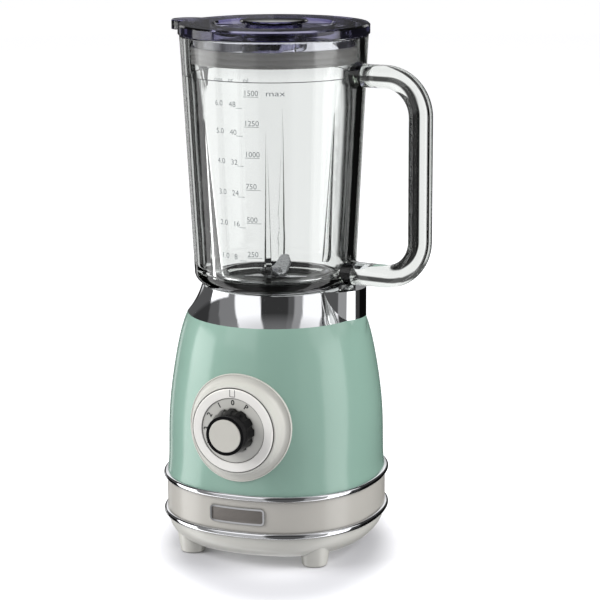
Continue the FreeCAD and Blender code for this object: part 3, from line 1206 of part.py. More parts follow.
def make_lid_seal():
    """The ribbed silicone ring on the lid's skirt."""
    low = LID_Z - LID_SKIRT_DROP
    base = LID_SKIRT_RADIUS + SEAL_BODY
    pitch = SEAL_HEIGHT / SEAL_BEADS
    points = [(LID_SKIRT_RADIUS, low), (base, low)]
    for k in range(SEAL_BEADS):
        z = low + pitch * k
        points += [(base, z + pitch * 0.3), (base + SEAL_BEAD_PROUD * 0.5, z + pitch * 0.65), (base, z + pitch)]
    points.append((LID_SKIRT_RADIUS, low + SEAL_HEIGHT))
    return revolved(outline(points))


def make_filler_cap():
    """The small cap in the lid: a thin domed disc on a hollow stem."""
    stem = SOCKET_RADIUS - SOCKET_WALL - CAP_GAP
    inner = stem - CAP_STEM_WALL
    top = CAP_Z + CAP_DISC
    low = CAP_Z - CAP_STEM_DROP
    edge = CAP_RADIUS - 1.0
    return revolved(outline([
        (stem, low), (stem, CAP_Z), (edge, CAP_Z), (CAP_RADIUS, CAP_Z + 1.0),
        (CAP_RADIUS, top - CAP_DOME - 1.0), (edge, top - CAP_DOME), [crown(edge, top, CAP_DOME), (0, top)],
        (0, CAP_Z + 0.6), (inner, CAP_Z + 0.6), (inner, low)]))


# ---------------------------------------------------------------- cord inlet
def make_cord_gland():
    """The cord inlet's bush in the band's rear, with a rounded outer flange."""
    z = BAND_Z + GLAND_RISE
    face = BAND_HALF
    body = Part.makeCylinder(GLAND_BODY, GLAND_LENGTH, Vector(0, face - GLAND_LENGTH, z), Y_AXIS)
    flange = Part.makeCone(GLAND_FLANGE, GLAND_FLANGE - 1.4, GLAND_NOSE, Vector(0, face, z), Y_AXIS)
    bore = Part.makeCylinder(GLAND_BORE, GLAND_LENGTH + GLAND_NOSE + 2, Vector(0, face - GLAND_LENGTH - 1, z), Y_AXIS)
    return body.fuse(flange).cut(bore)


def make_cord_clamp():
    """The bar that grips the cord on the tray's block, with its two screws' holes."""
    z = TRAY_Z + TRAY_WALL + CLAMP_BLOCK
    bar = block(CLAMP_LENGTH, CLAMP_WIDTH, z, CLAMP_THICKNESS, 0, CLAMP_Y)
    arch = Part.makeCylinder(GLAND_BORE, CLAMP_WIDTH + 2, Vector(0, CLAMP_Y - CLAMP_WIDTH / 2 - 1, z), Y_AXIS)
    holes = [rod(1.3, z - 1, 20, side * CLAMP_LENGTH * 0.36, CLAMP_Y) for side in (-1, 1)]
    return bar.cut([arch] + holes)


def make_clamp_screws():
    """Two small screws down through the cord clamp."""
    top = TRAY_Z + TRAY_WALL + CLAMP_BLOCK + CLAMP_THICKNESS
    screws = []
    for side in (-1, 1):
        x = side * CLAMP_LENGTH * 0.36
        screws.append(rod(2.6, top, 1.8, x, CLAMP_Y).fuse(rod(1.25, top - 12, 12, x, CLAMP_Y)))
    return screws


# ---------------------------------------------------------------- build
def pieces():
    """Every node's name with its solid or solids."""
    foot = make_foot()
    return {
        "body_shell": make_body_shell(),
        "chrome_collar": make_chrome_collar(),
        "jug_seat": make_jug_seat(),
        "base_band": make_base_band(),
        "upper_trim_ring": make_trim_ring(UPPER_TRIM_Z),
        "lower_trim_ring": make_trim_ring(LOWER_TRIM_Z),
        "base_tray": make_base_tray(),
        "rear_right_foot": foot,
        "rear_left_foot": turned(foot, 90),
        "front_left_foot": turned(foot, 180),
        "front_right_foot": turned(foot, 270),
        "base_screws": make_base_screws(),
        "badge_frame": make_badge_frame(),
        "badge_field": make_badge_field(),
        "dial_bezel": make_dial_bezel(),
        "dial_ring": make_dial_ring(),
        "number_disc": make_number_disc(),
        "knob_grip": make_knob_grip(),
        "knob_cap": make_knob_cap(),
        "knob_spindle": make_knob_spindle(),
        "rotary_switch": make_rotary_switch(),
        "upper_bracket": make_upper_bracket(),
        "lower_bracket": make_lower_bracket(),
        "upper_bearing": make_bearing(UPPER_BRACKET_Z),
        "lower_bearing": make_bearing(LOWER_BRACKET_TOP - BEARING_HEIGHT),
        "motor_dampers": make_motor_dampers(),
        "motor_screws": make_motor_screws(),
        "tie_bolts": make_tie_bolts(),
        "stator_core": make_stator_core(),
        "field_coils": make_field_coils(),
        "rotor_shaft": make_rotor_shaft(),
        "armature_core": make_armature_core(),
        "armature_windings": make_armature_windings(),
        "commutator": make_commutator(),
        "carbon_brushes": make_carbon_brushes(),
        "brush_holders": make_brush_holders(),
        "cooling_fan": make_cooling_fan(),
        "drive_coupling": make_drive_coupling(),
        "drive_dog": make_drive_dog(),
        "interlock_plunger": make_interlock_plunger(),
        "interlock_switch": make_interlock_switch(),
        "glass_jug": make_glass_jug(),
        "jug_base_ring": make_jug_base_ring(),
        "blade_carrier": make_blade_carrier(),
        "carrier_seal": make_carrier_seal(),
        "upper_bush": make_bush(CARRIER_TOP - BUSH_LENGTH - 2.4),
        "lower_bush": make_bush(HUB_Z),
        "shaft_seal": make_shaft_seal(),
        "blade_shaft": make_blade_shaft(),
        "lower_blades": make_lower_blades(),
        "blade_washer": make_blade_washer(),
        "upper_blades": make_upper_blades(),
        "blade_nut": make_blade_nut(),
        "lid": make_lid(),
        "lid_seal": make_lid_seal(),
        "filler_cap": make_filler_cap(),
        "cord_gland": make_cord_gland(),
        "cord_clamp": make_cord_clamp(),
        "clamp_screws": make_clamp_screws(),
    }


def main():
    os.makedirs("parts", exist_ok=True)
    for name, shape in pieces().items():
        solids = shape if isinstance(shape, list) else shape.Solids
        solid = solids[0] if len(solids) == 1 else Part.makeCompound(solids)
        solid.exportStep("parts/" + name + ".step")
        state = "ok" if solid.isValid() else "NOT VALID"
        print(name, len(solids), "solids", round(solid.Volume / 1000.0, 2), "cm3", state)


main()
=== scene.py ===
"""Countertop blender: finishes, printed marks and studio for a glass-jug blender on a motor base.

Laid out as an add-on and run as a script. Metres, +Z up, the speed knob faces -Y and the jug's handle +X.
"""

import json
import math

import bpy
from bpy.props import FloatProperty, FloatVectorProperty, PointerProperty
from mathutils import Matrix, Vector
from mathutils.bvhtree import BVHTree

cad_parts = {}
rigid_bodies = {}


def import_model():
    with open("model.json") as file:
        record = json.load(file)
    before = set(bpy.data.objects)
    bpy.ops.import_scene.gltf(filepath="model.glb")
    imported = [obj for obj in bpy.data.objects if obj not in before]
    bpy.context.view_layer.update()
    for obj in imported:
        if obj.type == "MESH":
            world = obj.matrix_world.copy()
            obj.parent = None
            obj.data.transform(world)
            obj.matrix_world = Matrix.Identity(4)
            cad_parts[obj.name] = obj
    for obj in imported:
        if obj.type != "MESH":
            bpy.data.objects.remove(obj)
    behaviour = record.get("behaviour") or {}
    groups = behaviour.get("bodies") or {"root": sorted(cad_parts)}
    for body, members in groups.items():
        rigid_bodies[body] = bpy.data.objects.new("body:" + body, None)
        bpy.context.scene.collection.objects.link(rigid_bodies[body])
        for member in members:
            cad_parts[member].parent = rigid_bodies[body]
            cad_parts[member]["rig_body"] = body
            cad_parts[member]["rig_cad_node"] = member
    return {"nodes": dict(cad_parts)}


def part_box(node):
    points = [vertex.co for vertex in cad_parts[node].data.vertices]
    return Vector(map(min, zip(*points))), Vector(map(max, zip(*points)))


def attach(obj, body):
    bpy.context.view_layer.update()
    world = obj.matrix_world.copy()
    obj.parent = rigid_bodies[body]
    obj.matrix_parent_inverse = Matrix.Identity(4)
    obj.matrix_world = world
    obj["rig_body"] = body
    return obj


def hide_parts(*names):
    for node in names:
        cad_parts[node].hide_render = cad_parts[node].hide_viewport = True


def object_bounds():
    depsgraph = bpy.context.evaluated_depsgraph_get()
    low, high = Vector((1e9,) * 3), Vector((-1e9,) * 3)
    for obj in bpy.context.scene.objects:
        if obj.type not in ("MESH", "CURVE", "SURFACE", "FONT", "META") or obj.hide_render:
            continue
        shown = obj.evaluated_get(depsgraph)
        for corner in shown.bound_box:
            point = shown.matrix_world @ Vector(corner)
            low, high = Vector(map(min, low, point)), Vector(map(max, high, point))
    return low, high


bl_info = {
    "name": "Countertop Blender",
    "version": (1, 0, 0),
    "blender": (4, 5, 0),
    "location": "View3D > Sidebar > Appliance",
    "description": "Dresses the packed countertop blender with its finishes, marks and studio",
    "category": "Object",
}

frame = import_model()
CAD_LOW, CAD_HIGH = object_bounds()
MM = 0.001
MM_IN_METRE = 1000.0
WELD = 1e-6                    # metres within which doubled vertices are merged
FINE_WELD = 1e-7               # the same for small lettering
CAPITAL_SHARE = 0.7            # the share of a font's size that its capitals are high
WAVE_RATE = 20                 # radians in a metre of a wave texture at a scale of 1
WHITE = (1.0, 1.0, 1.0, 1.0)
# A Mix node has sockets of the same names for each kind of value, so those for colours go by number.
MIX_LOW, MIX_HIGH, MIX_RESULT = 6, 7, 2

# Places read from the frame.
DIAL_LOW, DIAL_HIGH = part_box("number_disc")
DIAL_FACE_Y = DIAL_LOW.y
DIAL_Z = (DIAL_LOW.z + DIAL_HIGH.z) / 2
JUG_RIM_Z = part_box("glass_jug")[1].z


def linear(code):
    """A hex sRGB colour as linear red, green, blue and alpha."""
    parts = [int(code[k:k + 2], 16) / 255 for k in (1, 3, 5)]
    return tuple(p / 12.92 if p <= 0.04045 else ((p + 0.055) / 1.055) ** 2.4 for p in parts) + (1.0,)


# ---------------------------------------------------------------- settings a user would change
class ApplianceColours(bpy.types.PropertyGroup):
    """Colours of the painted and moulded pieces."""
    enamel: FloatVectorProperty(name="Enamel", description="Paint of the motor housing", subtype="COLOR",
                                size=4, min=0, max=1, default=linear("#8AAA9C"))
    band: FloatVectorProperty(name="Band", description="Moulded band between the trim rings", subtype="COLOR",
                              size=4, min=0, max=1, default=linear("#B7B4AD"))
    cream: FloatVectorProperty(name="Cream", description="Tray, feet and dial mouldings", subtype="COLOR",
                               size=4, min=0, max=1, default=linear("#CBCAC3"))
    grip: FloatVectorProperty(name="Grip", description="Knob grip", subtype="COLOR",
                              size=4, min=0, max=1, default=linear("#08080A"))
    lid: FloatVectorProperty(name="Lid", description="Smoky lid and filler cap", subtype="COLOR",
                             size=4, min=0, max=1, default=linear("#958EC4"))


class ApplianceSizes(bpy.types.PropertyGroup):
    """Sizes of the printed marks."""
    digit: FloatProperty(name="Jug digits", description="Height of the figures printed on the jug",
                         unit="LENGTH", default=3.9 * MM, min=1 * MM, max=10 * MM)
    dial_digit: FloatProperty(name="Dial digits", description="Height of the figures on the dial",
                              unit="LENGTH", default=3.8 * MM, min=1 * MM, max=8 * MM)
    dial_radius: FloatProperty(name="Dial digit circle",
                               description="Radius of the circle through the dial's figures",
                               unit="LENGTH", default=21.2 * MM, min=10 * MM, max=23 * MM)


# ---------------------------------------------------------------- selection and meshes
def select_only(piece):
    """Make one object the only selected and the active one."""
    if bpy.context.object and bpy.context.object.mode != "OBJECT":
        bpy.ops.object.mode_set(mode="OBJECT")
    bpy.ops.object.select_all(action="DESELECT")
    piece.select_set(True)
    bpy.context.view_layer.objects.active = piece


def in_edit_mode(piece, *steps):
    """Run edit-mode steps on the whole of a piece."""
    select_only(piece)
    bpy.ops.object.mode_set(mode="EDIT")
    bpy.ops.mesh.select_all(action="SELECT")
    for step in steps:
        step()
    bpy.ops.object.mode_set(mode="OBJECT")


def smooth(piece, degrees):
    """Shade a piece smooth up to an edge angle."""
    select_only(piece)
    bpy.ops.object.shade_smooth_by_angle(angle=math.radians(degrees))


def settle(piece, name, body, material):
    """Name a finished piece, give it its finish and make it ride on its body."""
    piece.name = name
    piece.data.name = name
    piece.data.materials.clear()
    piece.data.materials.append(material)
    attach(piece, body)
    return piece


def ray_tree(node):
    """A solid's faces, ready to be met by rays."""
    mesh = frame["nodes"][node].data
    return BVHTree.FromPolygons([v.co for v in mesh.vertices], [p.vertices for p in mesh.polygons])


def body_with(node):
    """The name of the body that holds a node."""
    return frame["nodes"][node]["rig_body"]


def skin(node, material, degrees=30):
    """A welded, smooth-shaded copy of a CAD piece, in its finish, that stands for it."""
    source = frame["nodes"][node]
    select_only(source)
    bpy.ops.object.duplicate()
    piece = bpy.context.object
    del piece["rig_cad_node"]
    in_edit_mode(piece, lambda: bpy.ops.mesh.remove_doubles(threshold=WELD))
    if piece.data.has_custom_normals:
        bpy.ops.mesh.customdata_custom_splitnormals_clear()
    smooth(piece, degrees)
    settle(piece, node + "_skin", body_with(node), material)
    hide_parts(node)


def flat_text(words, height, bold=0.0):
    """A flat mesh of some words in the XY plane, with capitals of a height and strokes grown by bold."""
    bpy.ops.object.select_all(action="DESELECT")
    bpy.ops.object.text_add(location=(0, 0, 0))
    piece = bpy.context.object
    piece.data.body = words
    piece.data.align_x = "LEFT"
    piece.data.size = height / CAPITAL_SHARE
    piece.data.resolution_u = 4
    piece.data.offset = bold
    bpy.ops.object.convert(target="MESH")
    in_edit_mode(piece, lambda: bpy.ops.mesh.remove_doubles(threshold=FINE_WELD))
    return piece


def join(pieces):
    """Join pieces into the first of them."""
    select_only(pieces[0])
    for piece in pieces[1:]:
        piece.select_set(True)
    bpy.ops.object.join()
    return bpy.context.object


# ---------------------------------------------------------------- material helpers
def add_node(tree, kind, inputs=None, **settings):
    """Add a node with its settings, input values and links."""
    made = tree.nodes.new(kind)
    for key, value in settings.items():
        setattr(made, key, value)
    for socket, value in (inputs or {}).items():
        if isinstance(value, bpy.types.NodeSocket):
            tree.links.new(value, made.inputs[socket])
        else:
            made.inputs[socket].default_value = value
    return made


def blank_material(name):
    """A new node material with its tree, its Principled shader and object coordinates."""
    material = bpy.data.materials.new(name)
    material.use_nodes = True
    tree = material.node_tree
    shader = tree.nodes["Principled BSDF"]
    place = add_node(tree, "ShaderNodeTexCoord").outputs["Object"]
    return material, tree, shader, place


def dress(shader, **sockets):
    """Set or link a shader's own sockets; an underscore stands for a space."""
    for key, value in sockets.items():
        socket = shader.inputs[key.replace("_", " ")]
        if isinstance(value, bpy.types.NodeSocket):
            shader.id_data.links.new(value, socket)
        else:
            socket.default_value = value


def grain(tree, place, size_mm, detail=2.0):
    """Noise whose features are about a size in millimetres."""
    return add_node(tree, "ShaderNodeTexNoise",
                    {"Vector": place, "Scale": MM_IN_METRE / size_mm, "Detail": detail}).outputs["Fac"]


def stripes(tree, place, pitch_mm, distortion=0.0):
    """Level stripes a pitch apart in millimetres."""
    scale = math.tau * MM_IN_METRE / (WAVE_RATE * pitch_mm)
    return add_node(tree, "ShaderNodeTexWave", {"Vector": place, "Scale": scale, "Distortion": distortion},
                    wave_type="BANDS", bands_direction="Z").outputs["Fac"]


def shades(tree, fac, low, high):
    """A colour that runs between two colours over a factor."""
    mix = add_node(tree, "ShaderNodeMix", {"Factor": fac, MIX_LOW: low, MIX_HIGH: high}, data_type="RGBA")
    return mix.outputs[MIX_RESULT]


def levels(tree, value, low, high, start=0.0, end=1.0, blend="LINEAR"):
    """A value that runs from low to high as another goes from start to end, and stays level outside them."""
    return add_node(tree, "ShaderNodeMapRange",
                    {"Value": value, "From Min": start, "From Max": end, "To Min": low, "To Max": high},
                    interpolation_type=blend).outputs["Result"]


def maths(tree, operation, first, second):
    """The result of one operation on two values."""
    return add_node(tree, "ShaderNodeMath", {0: first, 1: second}, operation=operation).outputs[0]


def relief(tree, shader, height, depth_mm, strength):
    """Bump a shader by a height of some depth in millimetres."""
    bump = add_node(tree, "ShaderNodeBump",
                    {"Height": height, "Distance": depth_mm * MM, "Strength": strength})
    dress(shader, Normal=bump.outputs["Normal"])


def absorb(tree, colour, density):
    """Darken a clear material towards a colour with its depth, at a density per metre."""
    depth = add_node(tree, "ShaderNodeVolumeAbsorption", {"Color": colour, "Density": density})
    tree.links.new(depth.outputs[0], tree.nodes["Material Output"].inputs["Volume"])


def crevice(tree, colour, reach_mm):
    """A colour darkened by ambient occlusion in joints and corners narrower than a reach: painted shade in
    the gaps between mouldings.
    """
    occlusion_shade = add_node(tree, "ShaderNodeAmbientOcclusion", {"Distance": reach_mm * MM}, samples=8)
    # The dark colour of the painted shade.
    return shades(tree, occlusion_shade.outputs["AO"], linear("#2A2826"), colour)


def tinted(colour, share):
    """A colour made lighter or darker by a share."""
    return tuple(min(1.0, c * share) for c in colour[:3]) + (1.0,)


# ---------------------------------------------------------------- finishes
def baked_enamel(colour):
    """Paint baked on die-cast metal, which gives an even, deep gloss with a faint orange peel."""
    material, tree, shader, place = blank_material("baked_enamel")
    dress(shader, Roughness=0.24, Coat_Weight=0.6, Coat_Roughness=0.1, Coat_IOR=1.5, IOR=1.48)
    drift = grain(tree, place, size_mm=45.0)
    dress(shader, Base_Color=shades(tree, drift, tinted(colour, 0.97), tinted(colour, 1.03)))
    peel = grain(tree, place, size_mm=1.8, detail=1.0)
    relief(tree, shader, peel, depth_mm=0.004, strength=0.35)
    return material


def plated_chrome():
    """Chrome plated over polished steel: a mirror, a little hazed by fine wiping marks."""
    material, tree, shader, place = blank_material("plated_chrome")
    dress(shader, Base_Color=linear("#E6E7EA"), Metallic=1.0)
    haze = grain(tree, place, size_mm=14.0, detail=4.0)
    dress(shader, Roughness=levels(tree, haze, low=0.03, high=0.075))
    return material


def moulded_abs(name, colour, roughness=0.34, coat=0.25):
    """Injection-moulded ABS: smooth, softly glossy, with a fine even skin."""
    material, tree, shader, place = blank_material(name)
    dress(shader, Roughness=roughness, Coat_Weight=coat, Coat_Roughness=0.18, IOR=1.52)
    drift = shades(tree, grain(tree, place, size_mm=30.0), tinted(colour, 0.975), tinted(colour, 1.02))
    # The colour carries painted shade in its joints and corners.
    dress(shader, Base_Color=crevice(tree, drift, reach_mm=1.5))
    relief(tree, shader, grain(tree, place, size_mm=0.9, detail=1.0), depth_mm=0.006, strength=0.3)
    return material


def moulded_grip(colour):
    """Black ABS from a polished mould: deep black with small, sharp highlights."""
    material, tree, shader, place = blank_material("polished_black_abs")
    dress(shader, Base_Color=colour, IOR=1.52, Specular_IOR_Level=0.12)
    wipe = grain(tree, place, size_mm=8.0, detail=3.0)
    dress(shader, Roughness=levels(tree, wipe, low=0.1, high=0.2))
    return material


def spark_eroded_abs(name, colour, roughness):
    """ABS from a spark-eroded mould, which leaves a fine matt grain."""
    material, tree, shader, place = blank_material(name)
    dress(shader, Base_Color=colour, IOR=1.52)
    spread = 0.08
    rough = grain(tree, place, size_mm=6.0, detail=3.0)
    dress(shader, Roughness=levels(tree, rough, low=roughness - spread, high=roughness + spread))
    relief(tree, shader, grain(tree, place, size_mm=0.6), depth_mm=0.03, strength=0.5)
    return material


def pressed_glass():
    """Pressed soda-lime glass: clear, thick, faintly wavy from the mould, grey-green in its depth."""
    material, tree, shader, place = blank_material("pressed_glass")
    dress(shader, Base_Color=linear("#FDFEFE"), Roughness=0.0, IOR=1.5, Transmission_Weight=1.0)
    absorb(tree, linear("#D0D8CE"), density=13.0)
    waves = grain(tree, place, size_mm=22.0, detail=1.0)
    relief(tree, shader, waves, depth_mm=0.05, strength=0.5)
    return material


def smoky_san(colour, density):
    """Moulded SAN, a clear plastic dyed smoky violet: pale through a thin wall, near black along an edge."""
    material, tree, shader, place = blank_material("smoky_san")
    dress(shader, Roughness=0.03, IOR=1.5, Transmission_Weight=1.0)
    drift = grain(tree, place, size_mm=25.0)
    dress(shader, Base_Color=shades(tree, drift, linear("#E2E2E8"), linear("#F2F2F6")))
    relief(tree, shader, grain(tree, place, size_mm=12.0, detail=1.0), depth_mm=0.02, strength=0.4)
    absorb(tree, colour, density)
    return material


def milky_silicone():
    """Translucent silicone rubber: waxy, grey and a little cloudy."""
    material, tree, shader, place = blank_material("milky_silicone")
    dress(shader, Roughness=0.42, IOR=1.41, Transmission_Weight=0.25)
    cloud = grain(tree, place, size_mm=9.0, detail=3.0)
    dress(shader, Base_Color=shades(tree, cloud, linear("#DEDBD9"), linear("#EAE7E6")))
    relief(tree, shader, grain(tree, place, size_mm=0.8), depth_mm=0.01, strength=0.3)
    return material


def brushed_stainless():
    """Stainless sheet brushed along the blades: a satin metal with fine parallel scratches."""
    material, tree, shader, place = blank_material("brushed_stainless")
    dress(shader, Base_Color=linear("#DFE0E2"), Metallic=0.8)
    streaks = add_node(tree, "ShaderNodeMapping", {"Vector": place, "Scale": (0.08, 0.08, 1.0)})
    lines = grain(tree, streaks.outputs["Vector"], size_mm=0.35)
    dress(shader, Roughness=levels(tree, lines, low=0.18, high=0.34))
    relief(tree, shader, lines, depth_mm=0.004, strength=0.4)
    return material


def zinc_plate():
    """Zinc-plated steel of screws and shafts: bright and slightly mottled."""
    material, tree, shader, place = blank_material("zinc_plate")
    dress(shader, Metallic=1.0, Roughness=0.3)
    mottle = grain(tree, place, size_mm=2.5, detail=3.0)
    dress(shader, Base_Color=shades(tree, mottle, linear("#9B9DA0"), linear("#B9BBBE")))
    return material


def sintered_bronze():
    """Sintered bronze bush: a dull metal with fine pores that hold oil."""
    material, tree, shader, place = blank_material("sintered_bronze")
    dress(shader, Metallic=1.0, Roughness=0.45)
    pores = grain(tree, place, size_mm=0.5, detail=3.0)
    dress(shader, Base_Color=shades(tree, pores, linear("#7A5A36"), linear("#B08A58")))
    relief(tree, shader, pores, depth_mm=0.02, strength=0.5)
    return material


def stacked_laminations():
    """Varnished steel laminations, 0.5 mm thick in fact and drawn 1 mm so that they show."""
    material, tree, shader, place = blank_material("stacked_laminations")
    dress(shader, Base_Color=linear("#5A5C60"), Metallic=0.8, Roughness=0.42)
    relief(tree, shader, stripes(tree, place, pitch_mm=1.0), depth_mm=0.08, strength=0.6)
    return material


def wound_copper():
    """Enamelled copper wire, wound in turns: orange-brown, glossy and ridged, with painted shade between the
    turns and painted highlight on them.
    """
    material, tree, shader, place = blank_material("wound_copper")
    dress(shader, Metallic=0.9, Roughness=0.28)
    turn_ridges_and_shade = stripes(tree, place, pitch_mm=0.8, distortion=1.5)
    # Painted shade in the grooves between turns and painted highlight on their crests.
    dress(shader, Base_Color=shades(tree, turn_ridges_and_shade, linear("#7A3B18"), linear("#C4713A")))
    relief(tree, shader, turn_ridges_and_shade, depth_mm=0.3, strength=0.6)
    return material


def die_cast_alloy():
    """Die-cast aluminium alloy: pale grey with a soft, faintly pitted skin."""
    material, tree, shader, place = blank_material("die_cast_alloy")
    dress(shader, Base_Color=linear("#B4B6B8"), Metallic=0.9)
    skin_grain = grain(tree, place, size_mm=1.5, detail=4.0)
    dress(shader, Roughness=levels(tree, skin_grain, low=0.38, high=0.55))
    relief(tree, shader, skin_grain, depth_mm=0.03, strength=0.5)
    return material


def nitrile_rubber():
    """Moulded nitrile rubber: near black, matt, with a dusty bloom."""
    material, tree, shader, place = blank_material("nitrile_rubber")
    dress(shader, Roughness=0.72, IOR=1.52)
    bloom = grain(tree, place, size_mm=5.0, detail=4.0)
    dress(shader, Base_Color=shades(tree, bloom, linear("#1B1B1C"), linear("#2A2A2B")))
    relief(tree, shader, grain(tree, place, size_mm=0.7), depth_mm=0.02, strength=0.4)
    return material


def pressed_carbon():
    """Pressed carbon of the motor's brushes: black-grey with a faint graphite shine."""
    material, tree, shader, place = blank_material("pressed_carbon")
    dress(shader, Metallic=0.3, Roughness=0.5)
    speck = grain(tree, place, size_mm=0.4, detail=3.0)
    dress(shader, Base_Color=shades(tree, speck, linear("#1E1F21"), linear("#3A3B3E")))
    return material


def satin_plate():
    """Satin nickel of the badge plate's field, with fine level ribs 0.9 mm apart."""
    material, tree, shader, place = blank_material("satin_plate")
    dress(shader, Base_Color=linear("#8E8985"), Metallic=0.85, Roughness=0.36)
    relief(tree, shader, stripes(tree, place, pitch_mm=0.9), depth_mm=0.15, strength=0.7)
    return material


def screen_ink(name, colour):
    """Screen-printed ink: a thin, even, matt film with slightly uneven cover."""
    material, tree, shader, place = blank_material(name)
    dress(shader, Roughness=0.6)
    cover = grain(tree, place, size_mm=0.8)
    dress(shader, Base_Color=shades(tree, cover, tinted(colour, 0.9), tinted(colour, 1.1)))
    return material


class Finishes:
    """The finishes, each made once when it is first asked for."""
    made = {}

    @classmethod
    def get(cls, name, maker, *values, **settings):
        """The finish kept under a name, made by its maker the first time."""
        if name not in cls.made:
            cls.made[name] = maker(*values, **settings)
        return cls.made[name]


def colours():
    """The user's colours."""
    return bpy.context.scene.appliance_colours


def sizes():
    """The user's sizes."""
    return bpy.context.scene.appliance_sizes


def chrome():
    return Finishes.get("chrome", plated_chrome)


def cream():
    return Finishes.get("cream", moulded_abs, "moulded_cream", tuple(colours().cream))


def black_moulding():
    return Finishes.get("black", spark_eroded_abs, "matt_black_abs", linear("#17171A"), roughness=0.45)


def grey_moulding():
    return Finishes.get("grey", spark_eroded_abs, "grey_green_nylon", linear("#363C37"), roughness=0.42)


def steel():
    return Finishes.get("steel", zinc_plate)


def stainless():
    return Finishes.get("stainless", brushed_stainless)


def rubber():
    return Finishes.get("rubber", nitrile_rubber)


def silicone():
    return Finishes.get("silicone", milky_silicone)


def copper():
    return Finishes.get("copper", wound_copper)


def alloy():
    return Finishes.get("alloy", die_cast_alloy)


def lamination():
    return Finishes.get("lamination", stacked_laminations)


# ---------------------------------------------------------------- operators
class PieceOperator:
    """What the operators share."""
    bl_options = {"REGISTER", "UNDO"}


class COUNTERTOP_OT_housing(PieceOperator, bpy.types.Operator):
    """Paint the motor housing"""
    bl_idname = "countertop.housing"
    bl_label = "Motor housing"

    def execute(self, context):
        skin("body_shell", baked_enamel(tuple(colours().enamel)))
        return {"FINISHED"}


class COUNTERTOP_OT_brightwork(PieceOperator, bpy.types.Operator):
    """Plate the collar and the two trim rings"""
    bl_idname = "countertop.brightwork"
    bl_label = "Collar and trim rings"

    def execute(self, context):
        skin("chrome_collar", chrome(), degrees=24)
        skin("upper_trim_ring", chrome(), degrees=40)
        skin("lower_trim_ring", chrome(), degrees=40)
        return {"FINISHED"}


class COUNTERTOP_OT_undercarriage(PieceOperator, bpy.types.Operator):
    """Mould the band, the tray and the feet, with the screws in the feet"""
    bl_idname = "countertop.undercarriage"
    bl_label = "Band, tray and feet"

    def execute(self, context):
        skin("base_band", moulded_abs("moulded_band", tuple(colours().band), roughness=0.3, coat=0.35))
        skin("base_tray", cream())
        for corner in ("front_left", "front_right", "rear_left", "rear_right"):
            skin(corner + "_foot", cream())
        skin("base_screws", steel())
        return {"FINISHED"}


class COUNTERTOP_OT_badge(PieceOperator, bpy.types.Operator):
    """Fit the bare badge plate"""
    bl_idname = "countertop.badge"
    bl_label = "Bare badge plate"

    def execute(self, context):
        skin("badge_frame", chrome())
        skin("badge_field", satin_plate())
        return {"FINISHED"}


